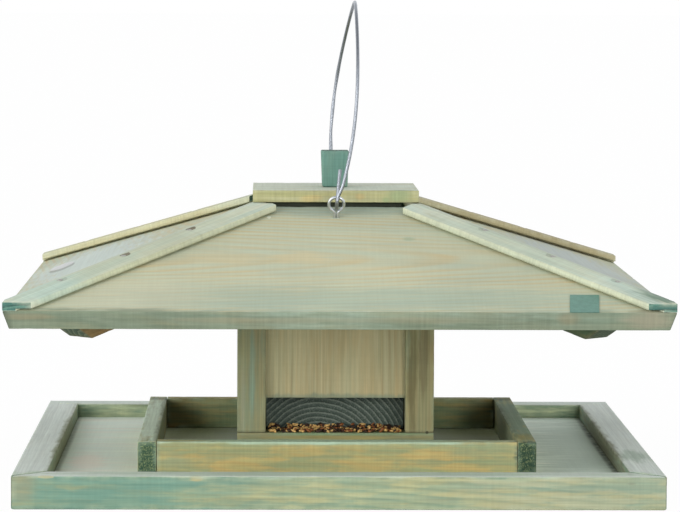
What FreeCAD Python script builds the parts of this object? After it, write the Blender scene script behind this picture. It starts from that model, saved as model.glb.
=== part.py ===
import FreeCAD, Part
import Sketcher
import math
import os

# A wooden bird table for seed: a square tray on a board, a smaller feed tray inside it,
# and a seed silo on four posts under a four-sided roof with a lift-off lid and a wire handle.
# Lengths are in millimetres. The origin is the middle of the tray's underside, +Z is up.
# The front faces -Y.

doc = FreeCAD.newDocument("BirdTable")
sheet = doc.addObject("Spreadsheet::Sheet", "Sizes")

SIZES = (
    # outer tray
    ("tray_width", 600.0),
    ("rail_size", 32.0),
    ("rail_round", 2.5),
    ("corner_cut", 2.0),
    ("floor_thick", 18.0),
    # feed tray around the silo
    ("feed_width", 377.0),
    ("feed_rail_thick", 18.0),
    ("feed_rail_rise", 31.0),
    # silo under the roof
    ("silo_width", 191.0),
    ("post_size", 28.0),
    ("wall_thick", 10.0),
    ("wall_setback", 8.0),
    ("wall_top_gap", 6.0),
    ("feed_gap_top", 79.0),
    ("divider_depth", 115.0),
    ("divider_eaves", 80.0),
    ("divider_ridge", 110.0),
    ("seed_low", 46.0),
    ("seed_high", 52.0),
    # roof
    ("roof_half", 307.0),
    ("eave_top", 184.5),
    ("roof_slope", 0.341),
    ("panel_thick", 18.0),
    ("opening_half", 73.0),
    ("batten_width", 38.0),
    ("batten_thick", 8.0),
    ("batten_over", 2.25),
    ("batten_end", 3.17),
    ("rafter_width", 32.0),
    ("rafter_depth", 28.0),
    ("rafter_inset", 68.0),
    ("rafter_over", 3.25),
    ("fit_gap", 0.05),
    # lid
    ("lid_width", 162.0),
    ("lid_deep", 138.0),
    ("lid_thick", 12.0),
    ("plug_gap", 3.2),
    ("plug_thick", 16.0),
    ("knob_size", 28.0),
    ("knob_height", 36.0),
    ("knob_cut", 2.0),
    # wire handle and its eyes
    ("eye_from_edge", 21.5),
    ("eye_rise", 11.8),
    ("eye_ring", 7.25),
    ("eye_bend", 5.0),
    ("eye_leg", 1.6),
    ("eye_wire", 3.0),
    ("eye_depth", 26.0),
    ("eye_spare", 0.2),
    ("handle_wire", 3.3),
    ("handle_height", 199.8),
    ("handle_straight", 102.0),
    ("handle_bulge", 9.0),
    ("handle_lean", 5.5),
    ("handle_gap", 0.3),
    ("hook_half", 9.0),
    ("hook_rise", 38.0),
    # screws, nails and the bare plate
    ("screw_shank", 4.0),
    ("screw_head", 8.0),
    ("screw_cone", 2.4),
    ("floor_screw_length", 38.0),
    ("post_screw_length", 80.0),
    ("frame_screw_length", 50.0),
    ("rafter_screw_length", 60.0),
    ("knob_screw_length", 46.0),
    ("rail_screw_out", 120.0),
    ("divider_screw_out", 35.0),
    ("frame_screw_out", 140.0),
    ("nail_shank", 2.4),
    ("nail_head", 5.6),
    ("nail_head_thick", 1.2),
    ("nail_length", 34.0),
    ("nail_low", 70.0),
    ("nail_mid", 149.0),
    ("nail_high", 234.0),
    ("drill_gap", 0.1),
    ("plate_width", 27.0),
    ("plate_deep", 40.0),
    ("plate_thick", 0.6),
    ("plate_from_corner", 83.5),
)
for row, (alias, number) in enumerate(SIZES, start=1):
    sheet.set("A%d" % row, alias)
    sheet.set("B%d" % row, str(number))
    sheet.setAlias("B%d" % row, alias)
doc.recompute()


class Size:
    """A length that knows its value and the sheet expression that gives it."""

    def __init__(self, value, text):
        self.value = float(value)
        self.text = text

    def __add__(self, other):
        other = as_size(other)
        return Size(self.value + other.value, "(%s + %s)" % (self.text, other.text))

    def __radd__(self, other):
        return as_size(other) + self

    def __sub__(self, other):
        other = as_size(other)
        return Size(self.value - other.value, "(%s - %s)" % (self.text, other.text))

    def __rsub__(self, other):
        return as_size(other) - self

    def __mul__(self, other):
        other = as_size(other)
        return Size(self.value * other.value, "(%s * %s)" % (self.text, other.text))

    def __rmul__(self, other):
        return as_size(other) * self

    def __truediv__(self, other):
        other = as_size(other)
        return Size(self.value / other.value, "(%s / %s)" % (self.text, other.text))

    def __neg__(self):
        return Size(-self.value, "(0 - %s)" % self.text)


def as_size(number):
    if isinstance(number, Size):
        return number
    return Size(number, repr(float(number)))


def size(alias):
    return Size(sheet.get(alias), "Sizes." + alias)


def root_of(number):
    return Size(math.sqrt(number.value), "sqrt(%s)" % number.text)


def drive(thing, path, number):
    """Bind one property to its sheet expression."""
    thing.setExpression(path, as_size(number).text)


def put(thing, x, y, z, axis=(0, 0, 1), angle=0.0):
    """Place an object with its position driven by the sheet."""
    x, y, z = as_size(x), as_size(y), as_size(z)
    turn = FreeCAD.Rotation(FreeCAD.Vector(*axis), angle)
    thing.Placement = FreeCAD.Placement(FreeCAD.Vector(x.value, y.value, z.value), turn)
    for letter, number in (("x", x), ("y", y), ("z", z)):
        thing.setExpression("Placement.Base." + letter, number.text)


def new_body(label):
    body = doc.addObject("PartDesign::Body", label)
    body.Label = label
    return body


def new_sketch(body, plane, name):
    """A sketch on one of the body's own origin planes: XY_Plane, XZ_Plane or YZ_Plane."""
    sketch = body.newObject("Sketcher::SketchObject", name)
    for feature in body.Origin.OriginFeatures:
        if feature.Role == plane:
            sketch.AttachmentSupport = [(feature, "")]
    sketch.MapMode = "FlatFace"
    return sketch


def pin_point(sketch, geometry, end, x, y):
    """Hold one point at driven distances from the sketch origin."""
    for kind, number in (("DistanceX", as_size(x)), ("DistanceY", as_size(y))):
        spot = sketch.addConstraint(Sketcher.Constraint(kind, -1, 1, geometry, end, number.value))
        sketch.setExpression("Constraints[%d]" % spot, number.text)


def polygon(sketch, corners):
    """A closed outline whose corners are all driven by the sheet."""
    corners = [(as_size(x), as_size(y)) for x, y in corners]
    count = len(corners)
    first = sketch.GeometryCount
    for index in range(count):
        start = corners[index]
        end = corners[(index + 1) % count]
        sketch.addGeometry(Part.LineSegment(
            FreeCAD.Vector(start[0].value, start[1].value, 0),
            FreeCAD.Vector(end[0].value, end[1].value, 0)), False)
    for index in range(count):
        after = first + (index + 1) % count
        sketch.addConstraint(Sketcher.Constraint("Coincident", first + index, 2, after, 1))
    for index in range(count):
        pin_point(sketch, first + index, 1, *corners[index])


def box_outline(sketch, x0, x1, y0, y1):
    polygon(sketch, ((x0, y0), (x1, y0), (x1, y1), (x0, y1)))


def pad(body, sketch, length, name, both_ways=False):
    """Raise a sketch along its normal, or half each way."""
    feature = body.newObject("PartDesign::Pad", name)
    feature.Profile = sketch
    if both_ways:
        feature.SideType = "Symmetric"
    feature.Length = as_size(length).value
    drive(feature, "Length", length)
    sketch.Visibility = False
    return feature


def cut_through(body, sketch, name):
    """Cut a sketch through the whole body, both ways."""
    feature = body.newObject("PartDesign::Pocket", name)
    feature.Profile = sketch
    feature.SideType = "Symmetric"
    feature.Type = "ThroughAll"
    sketch.Visibility = False
    return feature


def board(label, x0, x1, y0, y1, z0, thick):
    """A flat board given by its outline and the height it starts at."""
    body = new_body(label)
    sketch = new_sketch(body, "XY_Plane", label + "_outline")
    box_outline(sketch, x0, x1, y0, y1)
    pad(body, sketch, thick, label + "_pad")
    put(body, 0, 0, z0)
    return body


def round_edges(body, radius, wanted, name):
    """Round the edges of the body that the test picks by their middle and direction."""
    doc.recompute()
    base = body.Tip
    names = []
    for index, edge in enumerate(base.Shape.Edges, start=1):
        if edge.Curve.TypeId != "Part::GeomLine":
            continue
        middle = edge.CenterOfMass
        way = (edge.Vertexes[-1].Point - edge.Vertexes[0].Point).normalize()
        if wanted(middle, way):
            names.append("Edge%d" % index)
    feature = body.newObject("PartDesign::Fillet", name)
    feature.Base = (base, names)
    feature.Radius = radius.value
    drive(feature, "Radius", radius)
    return feature


def turned(thing, quarter_turns, extra=0.0):
    """Turn an object about the upright axis in quarter turns."""
    thing.Placement = FreeCAD.Placement(
        thing.Placement.Base, FreeCAD.Rotation(FreeCAD.Vector(0, 0, 1), 90.0 * quarter_turns + extra))


def fastener(name, point, way, length, shank, head, head_thick, flat_head, spare=None):
    """A screw or nail from the outer face of its head along the given way, fused from a shank
    and a head. With spare it is the hole for one: wider, and open behind the head."""
    turn = FreeCAD.Rotation(FreeCAD.Vector(0, 0, 1), FreeCAD.Vector(*way).normalize())
    point = [as_size(number) for number in point]
    wider = as_size(0) if spare is None else spare
    rod = doc.addObject("Part::Cylinder", name + "_shank")
    drive(rod, "Radius", shank / 2 + wider)
    drive(rod, "Height", length)
    if flat_head:
        top = doc.addObject("Part::Cylinder", name + "_head")
        drive(top, "Radius", head / 2 + wider)
        drive(top, "Height", head_thick)
    else:
        top = doc.addObject("Part::Cone", name + "_head")
        drive(top, "Radius1", head / 2 + wider)
        drive(top, "Radius2", shank / 2 + wider)
        drive(top, "Height", head_thick + wider)
    solids = [rod, top]
    if spare is not None:
        mouth = doc.addObject("Part::Cylinder", name + "_mouth")
        drive(mouth, "Radius", head / 2 + wider)
        drive(mouth, "Height", head / 4)
        solids.append(mouth)
    for solid in solids:
        start = list(point)
        if solid.Name.endswith("_mouth"):
            start = [number - unit * (head / 4)
                     for number, unit in zip(point, turn.multVec(FreeCAD.Vector(0, 0, 1)))]
        solid.Placement = FreeCAD.Placement(FreeCAD.Vector(*[number.value for number in start]), turn)
        for letter, number in zip("xyz", start):
            solid.setExpression("Placement.Base." + letter, number.text)
    both = doc.addObject("Part::MultiFuse", name)
    both.Shapes = solids
    return both


def fastener_group(label, places, length, kind):
    """A group of equal fasteners: the solids for the object and the holes they need."""
    if kind == "nail":
        shape = (size("nail_shank"), size("nail_head"), size("nail_head_thick"), True)
    else:
        shape = (size("screw_shank"), size("screw_head"), size("screw_cone"), False)
    solids = []
    holes = []
    for index, (point, way) in enumerate(places, start=1):
        solids.append(fastener("%s_%d" % (label, index), point, way, length, *shape))
        holes.append(fastener("%s_hole_%d" % (label, index), point, way, length, *shape,
                              spare=size("drill_gap")))
    group = doc.addObject("Part::Compound", label)
    group.Label = label
    group.Links = solids
    drill = doc.addObject("Part::Compound", label + "_holes")
    drill.Links = holes
    return group, drill


def drilled(label, base, *drills):
    """The piece with its fastener holes taken out."""
    base.Label = label + "_blank"
    result = base
    for index, drill in enumerate(drills, start=1):
        cut = doc.addObject("Part::Cut", "%s_drilled_%d" % (label, index))
        cut.Base = result
        cut.Tool = drill
        result = cut
    result.Label = label
    return result


SIDES = ("front", "right", "back", "left")
CORNERS = ("front_right", "back_right", "back_left", "front_left")
ROOT_TWO = root_of(as_size(2))

# How far the outlines that cut a piece reach past it.
over = 20.0

# Sizes that several pieces share.
tray_half = size("tray_width") / 2
rail = size("rail_size")
floor_top = size("floor_thick")
feed_half = size("feed_width") / 2
silo_half = size("silo_width") / 2
post = size("post_size")
silo_inner = silo_half - post
sill_top = floor_top + post
slope = size("roof_slope")
slope_length = root_of(1 + slope * slope)
roof_half = size("roof_half")
eave_top = size("eave_top")
opening = size("opening_half")
# The hips run at 45 degrees in plan, so they rise less for each step along the diagonal.
hip_slope = slope / ROOT_TWO
hip_length = root_of(1 + hip_slope * hip_slope)
gap = size("fit_gap")


def roof_top(inset):
    """Height of the roof's top surface at a level distance in from the eave."""
    return eave_top + slope * inset


def hip_top(along):
    """Height of the hip's top line at a distance from the middle along the diagonal."""
    return roof_top(roof_half - along / ROOT_TWO)


def rafter_top(along):
    """Height of the hip rafter's flat top, which touches the panels along both its edges."""
    under = hip_top(along) - size("panel_thick") * slope_length
    return under - slope * size("rafter_width") / 2 / ROOT_TWO - gap


def rafter_bottom(along):
    return rafter_top(along) - size("rafter_depth") * hip_length


# Level sizes that follow from the roof: its square-cut board edge, the ends of the battens
# and rafters along the diagonal, the lid's seat on the battens and the tops of the walls.
thick_out = size("panel_thick") * slope / slope_length
thick_down = size("panel_thick") / slope_length
corner_reach = roof_half * ROOT_TWO
batten_inner = opening * ROOT_TWO - size("batten_over")
lid_seat = hip_top(batten_inner) + size("batten_end")
rafter_outer = (roof_half - size("rafter_inset")) * ROOT_TWO
rafter_inner = opening * ROOT_TWO - size("rafter_over")
half_plug = opening - thick_out - size("plug_gap")
eye_offset = opening + size("eye_from_edge")
wall_corner = (silo_inner + silo_half - size("wall_setback")) / ROOT_TWO
wall_top = rafter_bottom(wall_corner) - size("wall_top_gap")

# Places of the fasteners.
floor_places = []
rail_middle = feed_half - size("feed_rail_thick") / 2
for offset in (size("rail_screw_out"), -size("rail_screw_out")):
    for side in (rail_middle, -rail_middle):
        floor_places.append(((side, offset, 0), (0, 0, 1)))
        floor_places.append(((offset, side, 0), (0, 0, 1)))
for side in (silo_half - post / 2, -(silo_half - post / 2)):
    floor_places.append(((0, side, 0), (0, 0, 1)))
    floor_places.append(((side, 0, 0), (0, 0, 1)))
floor_places.append(((0, size("divider_screw_out"), 0), (0, 0, 1)))
floor_places.append(((0, -size("divider_screw_out"), 0), (0, 0, 1)))
floor_screws, floor_drill = fastener_group(
    "floor_screws", floor_places, size("floor_screw_length"), "screw")

corner = silo_half - post / 2
post_places = [((corner * a, corner * b, 0), (0, 0, 1)) for a in (1, -1) for b in (1, -1)]
post_screws, post_drill = fastener_group(
    "post_screws", post_places, size("post_screw_length"), "screw")

frame_places = []
frame_out = size("frame_screw_out")
end_out = tray_half - rail / 2
for way in (1, -1):
    for offset in (end_out, frame_out, as_size(0), -frame_out, -end_out):
        frame_places.append(((tray_half * way, offset, floor_top / 2), (-way, 0, 0)))
for offset in (-frame_out, 0, frame_out):
    frame_places.append(((offset, tray_half, floor_top / 2), (0, -1, 0)))
frame_screws, frame_drill = fastener_group(
    "frame_screws", frame_places, size("frame_screw_length"), "screw")

# The rafter screws go down through each hip rafter into the post below it.
rafter_places = []
middle = corner * ROOT_TWO
for a in (1, -1):
    for b in (1, -1):
        rafter_places.append(((corner * a, corner * b, rafter_top(middle)), (0, 0, -1)))
rafter_screws, rafter_drill = fastener_group(
    "rafter_screws", rafter_places, size("rafter_screw_length"), "screw")

# The nails go square through the fold of each batten, the mitre below it and the hip rafter.
batten_rise = size("batten_thick") * slope_length
nail_places = []
lift = batten_rise / hip_length
for alias in ("nail_low", "nail_mid", "nail_high"):
    for a in (1, -1):
        for b in (1, -1):
            along = corner_reach - size(alias)
            out = along + lift * hip_slope / hip_length
            height = hip_top(along) + lift / hip_length
            tilt = hip_slope.value / math.sqrt(2)
            nail_places.append(((out / ROOT_TWO * a, out / ROOT_TWO * b, height),
                                (-a * tilt, -b * tilt, -1)))
batten_nails, nail_drill = fastener_group(
    "batten_nails", nail_places, size("nail_length"), "nail")

knob_screw, knob_drill = fastener_group(
    "knob_screw", [((0, 0, lid_seat - size("plug_thick")), (0, 0, 1))],
    size("knob_screw_length"), "screw")

# The finished pieces are collected here in the order they are written.
pieces = [floor_screws, post_screws, frame_screws, rafter_screws, batten_nails, knob_screw]

# Floor board between the four outer rails.
inner_half = tray_half - rail
floor_blank = board("tray_floor", -inner_half, inner_half, -inner_half, inner_half, 0, floor_top)
pieces.append(drilled("tray_floor", floor_blank, floor_drill, post_drill, frame_drill))

# Outer rails, mitred at the corners, with their long arrises rounded.
for turns, side in enumerate(SIDES):
    label = "tray_rail_" + side
    body = new_body(label)
    sketch = new_sketch(body, "YZ_Plane", label + "_section")
    box_outline(sketch, -tray_half, rail - tray_half, 0, rail)
    pad(body, sketch, size("tray_width"), label + "_pad", both_ways=True)
    round_edges(body, size("rail_round"), lambda middle, way: abs(way.x) > 0.9, label + "_round")
    cut = size("corner_cut")
    for hand, end in ((1, "right"), (-1, "left")):
        sketch = new_sketch(body, "XY_Plane", "%s_mitre_%s" % (label, end))
        near = inner_half - over
        far = tray_half + over
        polygon(sketch, (
            (near * hand, -near),
            ((tray_half - cut / 2) * hand, cut / 2 - tray_half),
            ((tray_half - cut) * hand, -tray_half),
            ((tray_half - cut) * hand, -far),
            (far * hand, -far),
            (far * hand, -near)))
        cut_through(body, sketch, "%s_mitre_%s_cut" % (label, end))
    turned(body, turns)
    pieces.append(drilled(label, body, frame_drill))

# Feed tray rails: the left and right ones run through, the others butt between them.
feed_inner = feed_half - size("feed_rail_thick")
for side, hand in (("front", -1), ("back", 1)):
    label = "feed_rail_" + side
    low, high = (-feed_half, -feed_inner) if hand < 0 else (feed_inner, feed_half)
    body = board(label, -feed_inner, feed_inner, low, high, floor_top, size("feed_rail_rise"))
    pieces.append(drilled(label, body, floor_drill))
for side, hand in (("left", -1), ("right", 1)):
    label = "feed_rail_" + side
    low, high = (-feed_half, -feed_inner) if hand < 0 else (feed_inner, feed_half)
    body = board(label, low, high, -feed_half, feed_half, floor_top, size("feed_rail_rise"))
    pieces.append(drilled(label, body, floor_drill))

# Square sill bars around the silo's foot.
for side, hand in (("front", -1), ("back", 1)):
    label = "silo_sill_" + side
    low, high = (-silo_half, -silo_inner) if hand < 0 else (silo_inner, silo_half)
    body = board(label, -silo_half, silo_half, low, high, floor_top, post)
    pieces.append(drilled(label, body, floor_drill, post_drill))
for side, hand in (("left", -1), ("right", 1)):
    label = "silo_sill_" + side
    low, high = (-silo_half, -silo_inner) if hand < 0 else (silo_inner, silo_half)
    body = board(label, low, high, -silo_inner, silo_inner, floor_top, post)
    pieces.append(drilled(label, body, floor_drill))

# Corner posts, drawn with the diagonal of the plan along the body's X axis. Their tops are
# sawn to the slope of the hip rafters that lie on them.
for turns, corner_name in enumerate(CORNERS):
    label = "silo_post_" + corner_name
    body = new_body(label)
    sketch = new_sketch(body, "XY_Plane", label + "_section")
    reach = post / ROOT_TWO
    polygon(sketch, ((middle - reach, 0), (middle, -reach), (middle + reach, 0), (middle, reach)))
    pad(body, sketch, rafter_bottom(middle - reach) + over - sill_top, label + "_pad")
    sketch = new_sketch(body, "XZ_Plane", label + "_slope")
    inner = middle - reach - over
    outer = middle + reach + over
    top = rafter_bottom(inner) + 2 * over - sill_top
    polygon(sketch, (
        (inner, rafter_bottom(inner) - sill_top),
        (outer, rafter_bottom(outer) - sill_top),
        (outer, top),
        (inner, top)))
    cut_through(body, sketch, label + "_slope_cut")
    put(body, 0, 0, sill_top)
    turned(body, turns, -45.0)
    pieces.append(drilled(label, body, post_drill, rafter_drill))

# Wall panels of the silo. The front and back ones stop short to leave the feed gaps.
for turns, side in enumerate(SIDES):
    label = "silo_wall_" + side
    low = size("feed_gap_top") if side in ("front", "back") else sill_top
    outer = size("wall_setback") - silo_half
    body = board(label, -silo_inner, silo_inner, outer, outer + size("wall_thick"),
                 low, wall_top - low)
    turned(body, turns)
    pieces.append(body)

# Solid block in the silo whose gabled top sends the seed to the front and the back.
divider_half = size("divider_depth") / 2
body = new_body("seed_divider")
sketch = new_sketch(body, "YZ_Plane", "seed_divider_section")
polygon(sketch, (
    (-divider_half, floor_top),
    (divider_half, floor_top),
    (divider_half, size("divider_eaves")),
    (0, size("divider_ridge")),
    (-divider_half, size("divider_eaves"))))
pad(body, sketch, silo_inner * 2, "seed_divider_pad", both_ways=True)
pieces.append(drilled("seed_divider", body, floor_drill))

# Seed lying between the block and the sills.
for turns, side in ((0, "front"), (2, "back")):
    label = "seed_fill_" + side
    body = new_body(label)
    sketch = new_sketch(body, "YZ_Plane", label + "_section")
    polygon(sketch, (
        (-silo_inner, floor_top),
        (-divider_half, floor_top),
        (-divider_half, size("seed_high")),
        (-silo_inner, size("seed_low"))))
    pad(body, sketch, silo_inner * 2, label + "_pad", both_ways=True)
    turned(body, turns)
    pieces.append(body)

# Hip rafters under the mitres of the roof, lower ends cut back at 45 degrees to the bar.
rafter_depth = size("rafter_depth")
for turns, corner_name in enumerate(CORNERS):
    label = "hip_rafter_" + corner_name
    body = new_body(label)
    sketch = new_sketch(body, "XZ_Plane", label + "_side")
    inner = rafter_inner
    outer = rafter_outer
    tip = outer + rafter_depth * (1 + hip_slope) / hip_length
    polygon(sketch, (
        (inner, rafter_bottom(inner)),
        (outer, rafter_bottom(outer)),
        (tip, rafter_top(tip)),
        (inner, rafter_top(inner))))
    pad(body, sketch, size("rafter_width"), label + "_pad", both_ways=True)
    turned(body, turns, -45.0)
    pieces.append(drilled(label, body, rafter_drill, nail_drill))

# Split-pin eyes for the wire handle. One stands square on the front panel and one on the back.
eye_height = roof_top(roof_half - eye_offset)
roof_angle = math.degrees(math.atan(slope.value))


def eye_frame(quarter_turns):
    """The placement of an eye: foot on the panel, its own Z square to the panel."""
    tilt = FreeCAD.Rotation(FreeCAD.Vector(1, 0, 0), roof_angle)
    turn = FreeCAD.Rotation(FreeCAD.Vector(0, 0, 1), 90.0 * quarter_turns)
    foot = FreeCAD.Vector(0, -eye_offset.value, eye_height.value)
    return FreeCAD.Placement(turn.multVec(foot), turn.multiply(tilt))


eye_holes = []
for turns, side in ((0, "front"), (2, "back")):
    label = "eye_" + side
    body = new_body(label)
    path = new_sketch(body, "XZ_Plane", label + "_path")
    rise = size("eye_rise")
    ring = size("eye_ring")
    leg = size("eye_leg")
    bend = size("eye_bend")
    deep = size("eye_depth")
    # Each leg leaves the ring through a bend that is tangent to both.
    bend_x = leg + bend
    drop = root_of((ring + bend) * (ring + bend) - bend_x * bend_x)
    knee = rise - drop
    touch_x = bend_x * ring / (ring + bend)
    touch_z = rise - drop * ring / (ring + bend)
    low = math.atan2(touch_z.value - rise.value, touch_x.value)
    turn = math.pi + low
    path.addGeometry(Part.LineSegment(
        FreeCAD.Vector(-leg.value, -deep.value, 0), FreeCAD.Vector(-leg.value, knee.value, 0)), False)
    path.addGeometry(Part.ArcOfCircle(
        Part.Circle(FreeCAD.Vector(-bend_x.value, knee.value, 0), FreeCAD.Vector(0, 0, 1), bend.value),
        0.0, math.pi - turn), False)
    path.addGeometry(Part.ArcOfCircle(
        Part.Circle(FreeCAD.Vector(0, rise.value, 0), FreeCAD.Vector(0, 0, 1), ring.value),
        low, math.pi - low), False)
    path.addGeometry(Part.ArcOfCircle(
        Part.Circle(FreeCAD.Vector(bend_x.value, knee.value, 0), FreeCAD.Vector(0, 0, 1), bend.value),
        turn, math.pi), False)
    path.addGeometry(Part.LineSegment(
        FreeCAD.Vector(leg.value, knee.value, 0), FreeCAD.Vector(leg.value, -deep.value, 0)), False)
    for first, first_end, second, second_end in (
            (0, 2, 1, 1), (1, 2, 2, 2), (2, 1, 3, 1), (3, 2, 4, 1)):
        path.addConstraint(Sketcher.Constraint("Coincident", first, first_end, second, second_end))
    pin_point(path, 0, 1, -leg, -deep)
    pin_point(path, 4, 2, leg, -deep)
    pin_point(path, 1, 3, -bend_x, knee)
    pin_point(path, 2, 3, 0, rise)
    pin_point(path, 3, 3, bend_x, knee)
    pin_point(path, 2, 1, touch_x, touch_z)
    for kind, geometry, end, number in (
            ("DistanceX", 2, 2, -touch_x), ("DistanceY", 1, 1, knee), ("DistanceY", 3, 2, knee)):
        spot = path.addConstraint(Sketcher.Constraint(kind, -1, 1, geometry, end, number.value))
        path.setExpression("Constraints[%d]" % spot, number.text)
    round_one = new_sketch(body, "XY_Plane", label + "_round")
    round_one.AttachmentOffset = FreeCAD.Placement(
        FreeCAD.Vector(0, 0, -deep.value), FreeCAD.Rotation())
    drive(round_one, "AttachmentOffset.Base.z", -deep)
    round_one.addGeometry(Part.Circle(
        FreeCAD.Vector(-leg.value, 0, 0), FreeCAD.Vector(0, 0, 1), size("eye_wire").value / 2), False)
    spot = round_one.addConstraint(Sketcher.Constraint("Radius", 0, size("eye_wire").value / 2))
    drive(round_one, "Constraints[%d]" % spot, size("eye_wire") / 2)
    pin_point(round_one, 0, 3, -leg, 0)
    pipe = body.newObject("PartDesign::AdditivePipe", label + "_wire")
    pipe.Profile = round_one
    pipe.Spine = path
    body.Placement = eye_frame(turns)
    path.Visibility = False
    round_one.Visibility = False
    pieces.append(body)
    hole = doc.addObject("Part::Cylinder", label + "_hole")
    drive(hole, "Radius", leg + size("eye_wire") / 2 + size("eye_spare"))
    hole.Height = 2 * over
    hole.Placement = eye_frame(turns).multiply(FreeCAD.Placement(
        FreeCAD.Vector(0, 0, over / 5 - 2 * over), FreeCAD.Rotation()))
    eye_holes.append(hole)
eye_drill = doc.addObject("Part::Compound", "eye_holes")
eye_drill.Links = eye_holes

# Roof panels: one board profile cut along both hips, four times around.
for turns, side in enumerate(SIDES):
    label = "roof_panel_" + side
    body = new_body(label)
    sketch = new_sketch(body, "YZ_Plane", label + "_section")
    top_height = roof_top(roof_half - opening)
    polygon(sketch, (
        (-roof_half, eave_top),
        (thick_out - roof_half, eave_top - thick_down),
        (thick_out - opening, top_height - thick_down),
        (-opening, top_height)))
    pad(body, sketch, roof_half * 2, label + "_pad", both_ways=True)
    for hand, end in ((1, "right"), (-1, "left")):
        sketch = new_sketch(body, "XY_Plane", "%s_hip_%s" % (label, end))
        far = roof_half + over
        polygon(sketch, ((0, 0), (far * hand, -far), (far * hand, 0)))
        cut_through(body, sketch, "%s_hip_%s_cut" % (label, end))
    turned(body, turns)
    drills = [nail_drill]
    if side in ("front", "back"):
        drills.append(eye_drill)
    pieces.append(drilled(label, body, *drills))

# Battens folded over the hips, each half flat on its panel: pointed flush with both eaves
# below, trimmed level under the lid.
def roof_form(name, lift):
    """A four-sided pyramid whose faces lie a height above the panels."""
    body = new_body(name)
    spread = 3 * over
    reach = roof_half + spread
    low = roof_top(-spread) + lift
    top = roof_top(roof_half) + lift
    sketch = new_sketch(body, "YZ_Plane", name + "_gable")
    polygon(sketch, ((-reach, low), (reach, low), (0, top)))
    pad(body, sketch, reach * 2, name + "_pad", both_ways=True)
    sketch = new_sketch(body, "XZ_Plane", name + "_sides")
    polygon(sketch, (
        (-reach, low),
        (0, top),
        (reach, low),
        (reach + over, low),
        (reach + over, top + over),
        (-reach - over, top + over),
        (-reach - over, low)))
    cut_through(body, sketch, name + "_sides_cut")
    return body


under_battens = roof_form("under_battens", as_size(0))
over_battens = roof_form("over_battens", batten_rise)
for turns, corner_name in enumerate(CORNERS):
    label = "hip_batten_" + corner_name
    half_wide = size("batten_width") / 2
    body = new_body(label + "_plan")
    sketch = new_sketch(body, "XY_Plane", label + "_outline")
    polygon(sketch, (
        (batten_inner, -half_wide),
        (corner_reach - half_wide, -half_wide),
        (corner_reach, 0),
        (corner_reach - half_wide, half_wide),
        (batten_inner, half_wide)))
    pad(body, sketch, lid_seat - eave_top, label + "_pad")
    put(body, 0, 0, eave_top)
    turned(body, turns, -45.0)
    strip = doc.addObject("Part::Common", label + "_strip")
    strip.Base = body
    strip.Tool = over_battens
    pieces.append(drilled(label, strip, under_battens, nail_drill))

# Lift-off lid: a board on the batten ends, a plug in the roof opening and a square knob.
half_wide = size("lid_width") / 2
half_deep = size("lid_deep") / 2
body = board("lid_board", -half_wide, half_wide, -half_deep, half_deep,
             lid_seat, size("lid_thick"))
pieces.append(drilled("lid_board", body, knob_drill))
body = board("lid_plug", -half_plug, half_plug, -half_plug, half_plug,
             lid_seat - size("plug_thick"), size("plug_thick"))
pieces.append(drilled("lid_plug", body, knob_drill))
half_knob = size("knob_size") / 2
body = board("lid_knob", -half_knob, half_knob, -half_knob, half_knob,
             lid_seat + size("lid_thick"), size("knob_height"))
round_edges(body, size("knob_cut"), lambda middle, way: middle.z > 1.0, "lid_knob_round")
pieces.append(drilled("lid_knob", body, knob_drill))

# Bare plate on the front panel, its lower edge at the eave arris.
body = board("label_plate", size("plate_width") / -2, size("plate_width") / 2,
             0, size("plate_deep"), 0, size("plate_thick"))
put(body, roof_half - size("plate_from_corner"), -roof_half, eave_top, (1, 0, 0), roof_angle)
pieces.append(body)

# Wire handle: hooked through both eyes and bowed over the lid. Its own frame has the hinge
# line along Y, through the wire where it rests in both eyes.
hook = size("hook_half").value
tall = size("handle_height").value
straight = size("handle_straight").value
bulge = size("handle_bulge").value
# The hook rests between the two bends of the eye, a small gap off both.
reach = (size("eye_bend") + size("eye_wire") / 2 + size("handle_wire") / 2 + size("handle_gap")).value
seat = knee.value + math.sqrt(reach ** 2 - bend_x.value ** 2)
hinge = eye_frame(0).multVec(FreeCAD.Vector(0, 0, seat))
span = -hinge.y
leg_out = span + hook
bow = tall - straight


# A power under one puts the widest place of the bulge below half height.
bulge_power = 0.8
straight_steps = 8
bow_steps = 12


def handle_side(height):
    """How far the wire stands to the side at a height."""
    share = min(1.0, (height - hook) / (tall - hook))
    return bulge * math.sin(math.pi * share ** bulge_power)


def handle_points():
    """Points from the top of the front hook over the bow to the back hook."""
    points = []
    for step in range(straight_steps):
        height = hook + (straight - hook) * step / straight_steps
        points.append(FreeCAD.Vector(handle_side(height), -leg_out, height))
    for step in range(bow_steps):
        angle = math.radians(90.0 * step / bow_steps)
        height = straight + bow * math.sin(angle)
        points.append(FreeCAD.Vector(handle_side(height), -leg_out * math.cos(angle), height))
    half = list(points)
    points.append(FreeCAD.Vector(0, 0, tall))
    for point in reversed(half):
        points.append(FreeCAD.Vector(-point.x, -point.y, point.z))
    return points


def hook_edges(way):
    """The half-round bottom of a hook and the straight tail on its inner side."""
    outer = FreeCAD.Vector(0, way * leg_out, hook)
    bottom = FreeCAD.Vector(0, way * span, 0)
    inner = FreeCAD.Vector(0, way * (span - hook), hook)
    top = FreeCAD.Vector(0, way * (span - hook), size("hook_rise").value)
    return [Part.LineSegment(top, inner).toShape(), Part.Arc(inner, bottom, outer).toShape()]


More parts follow.
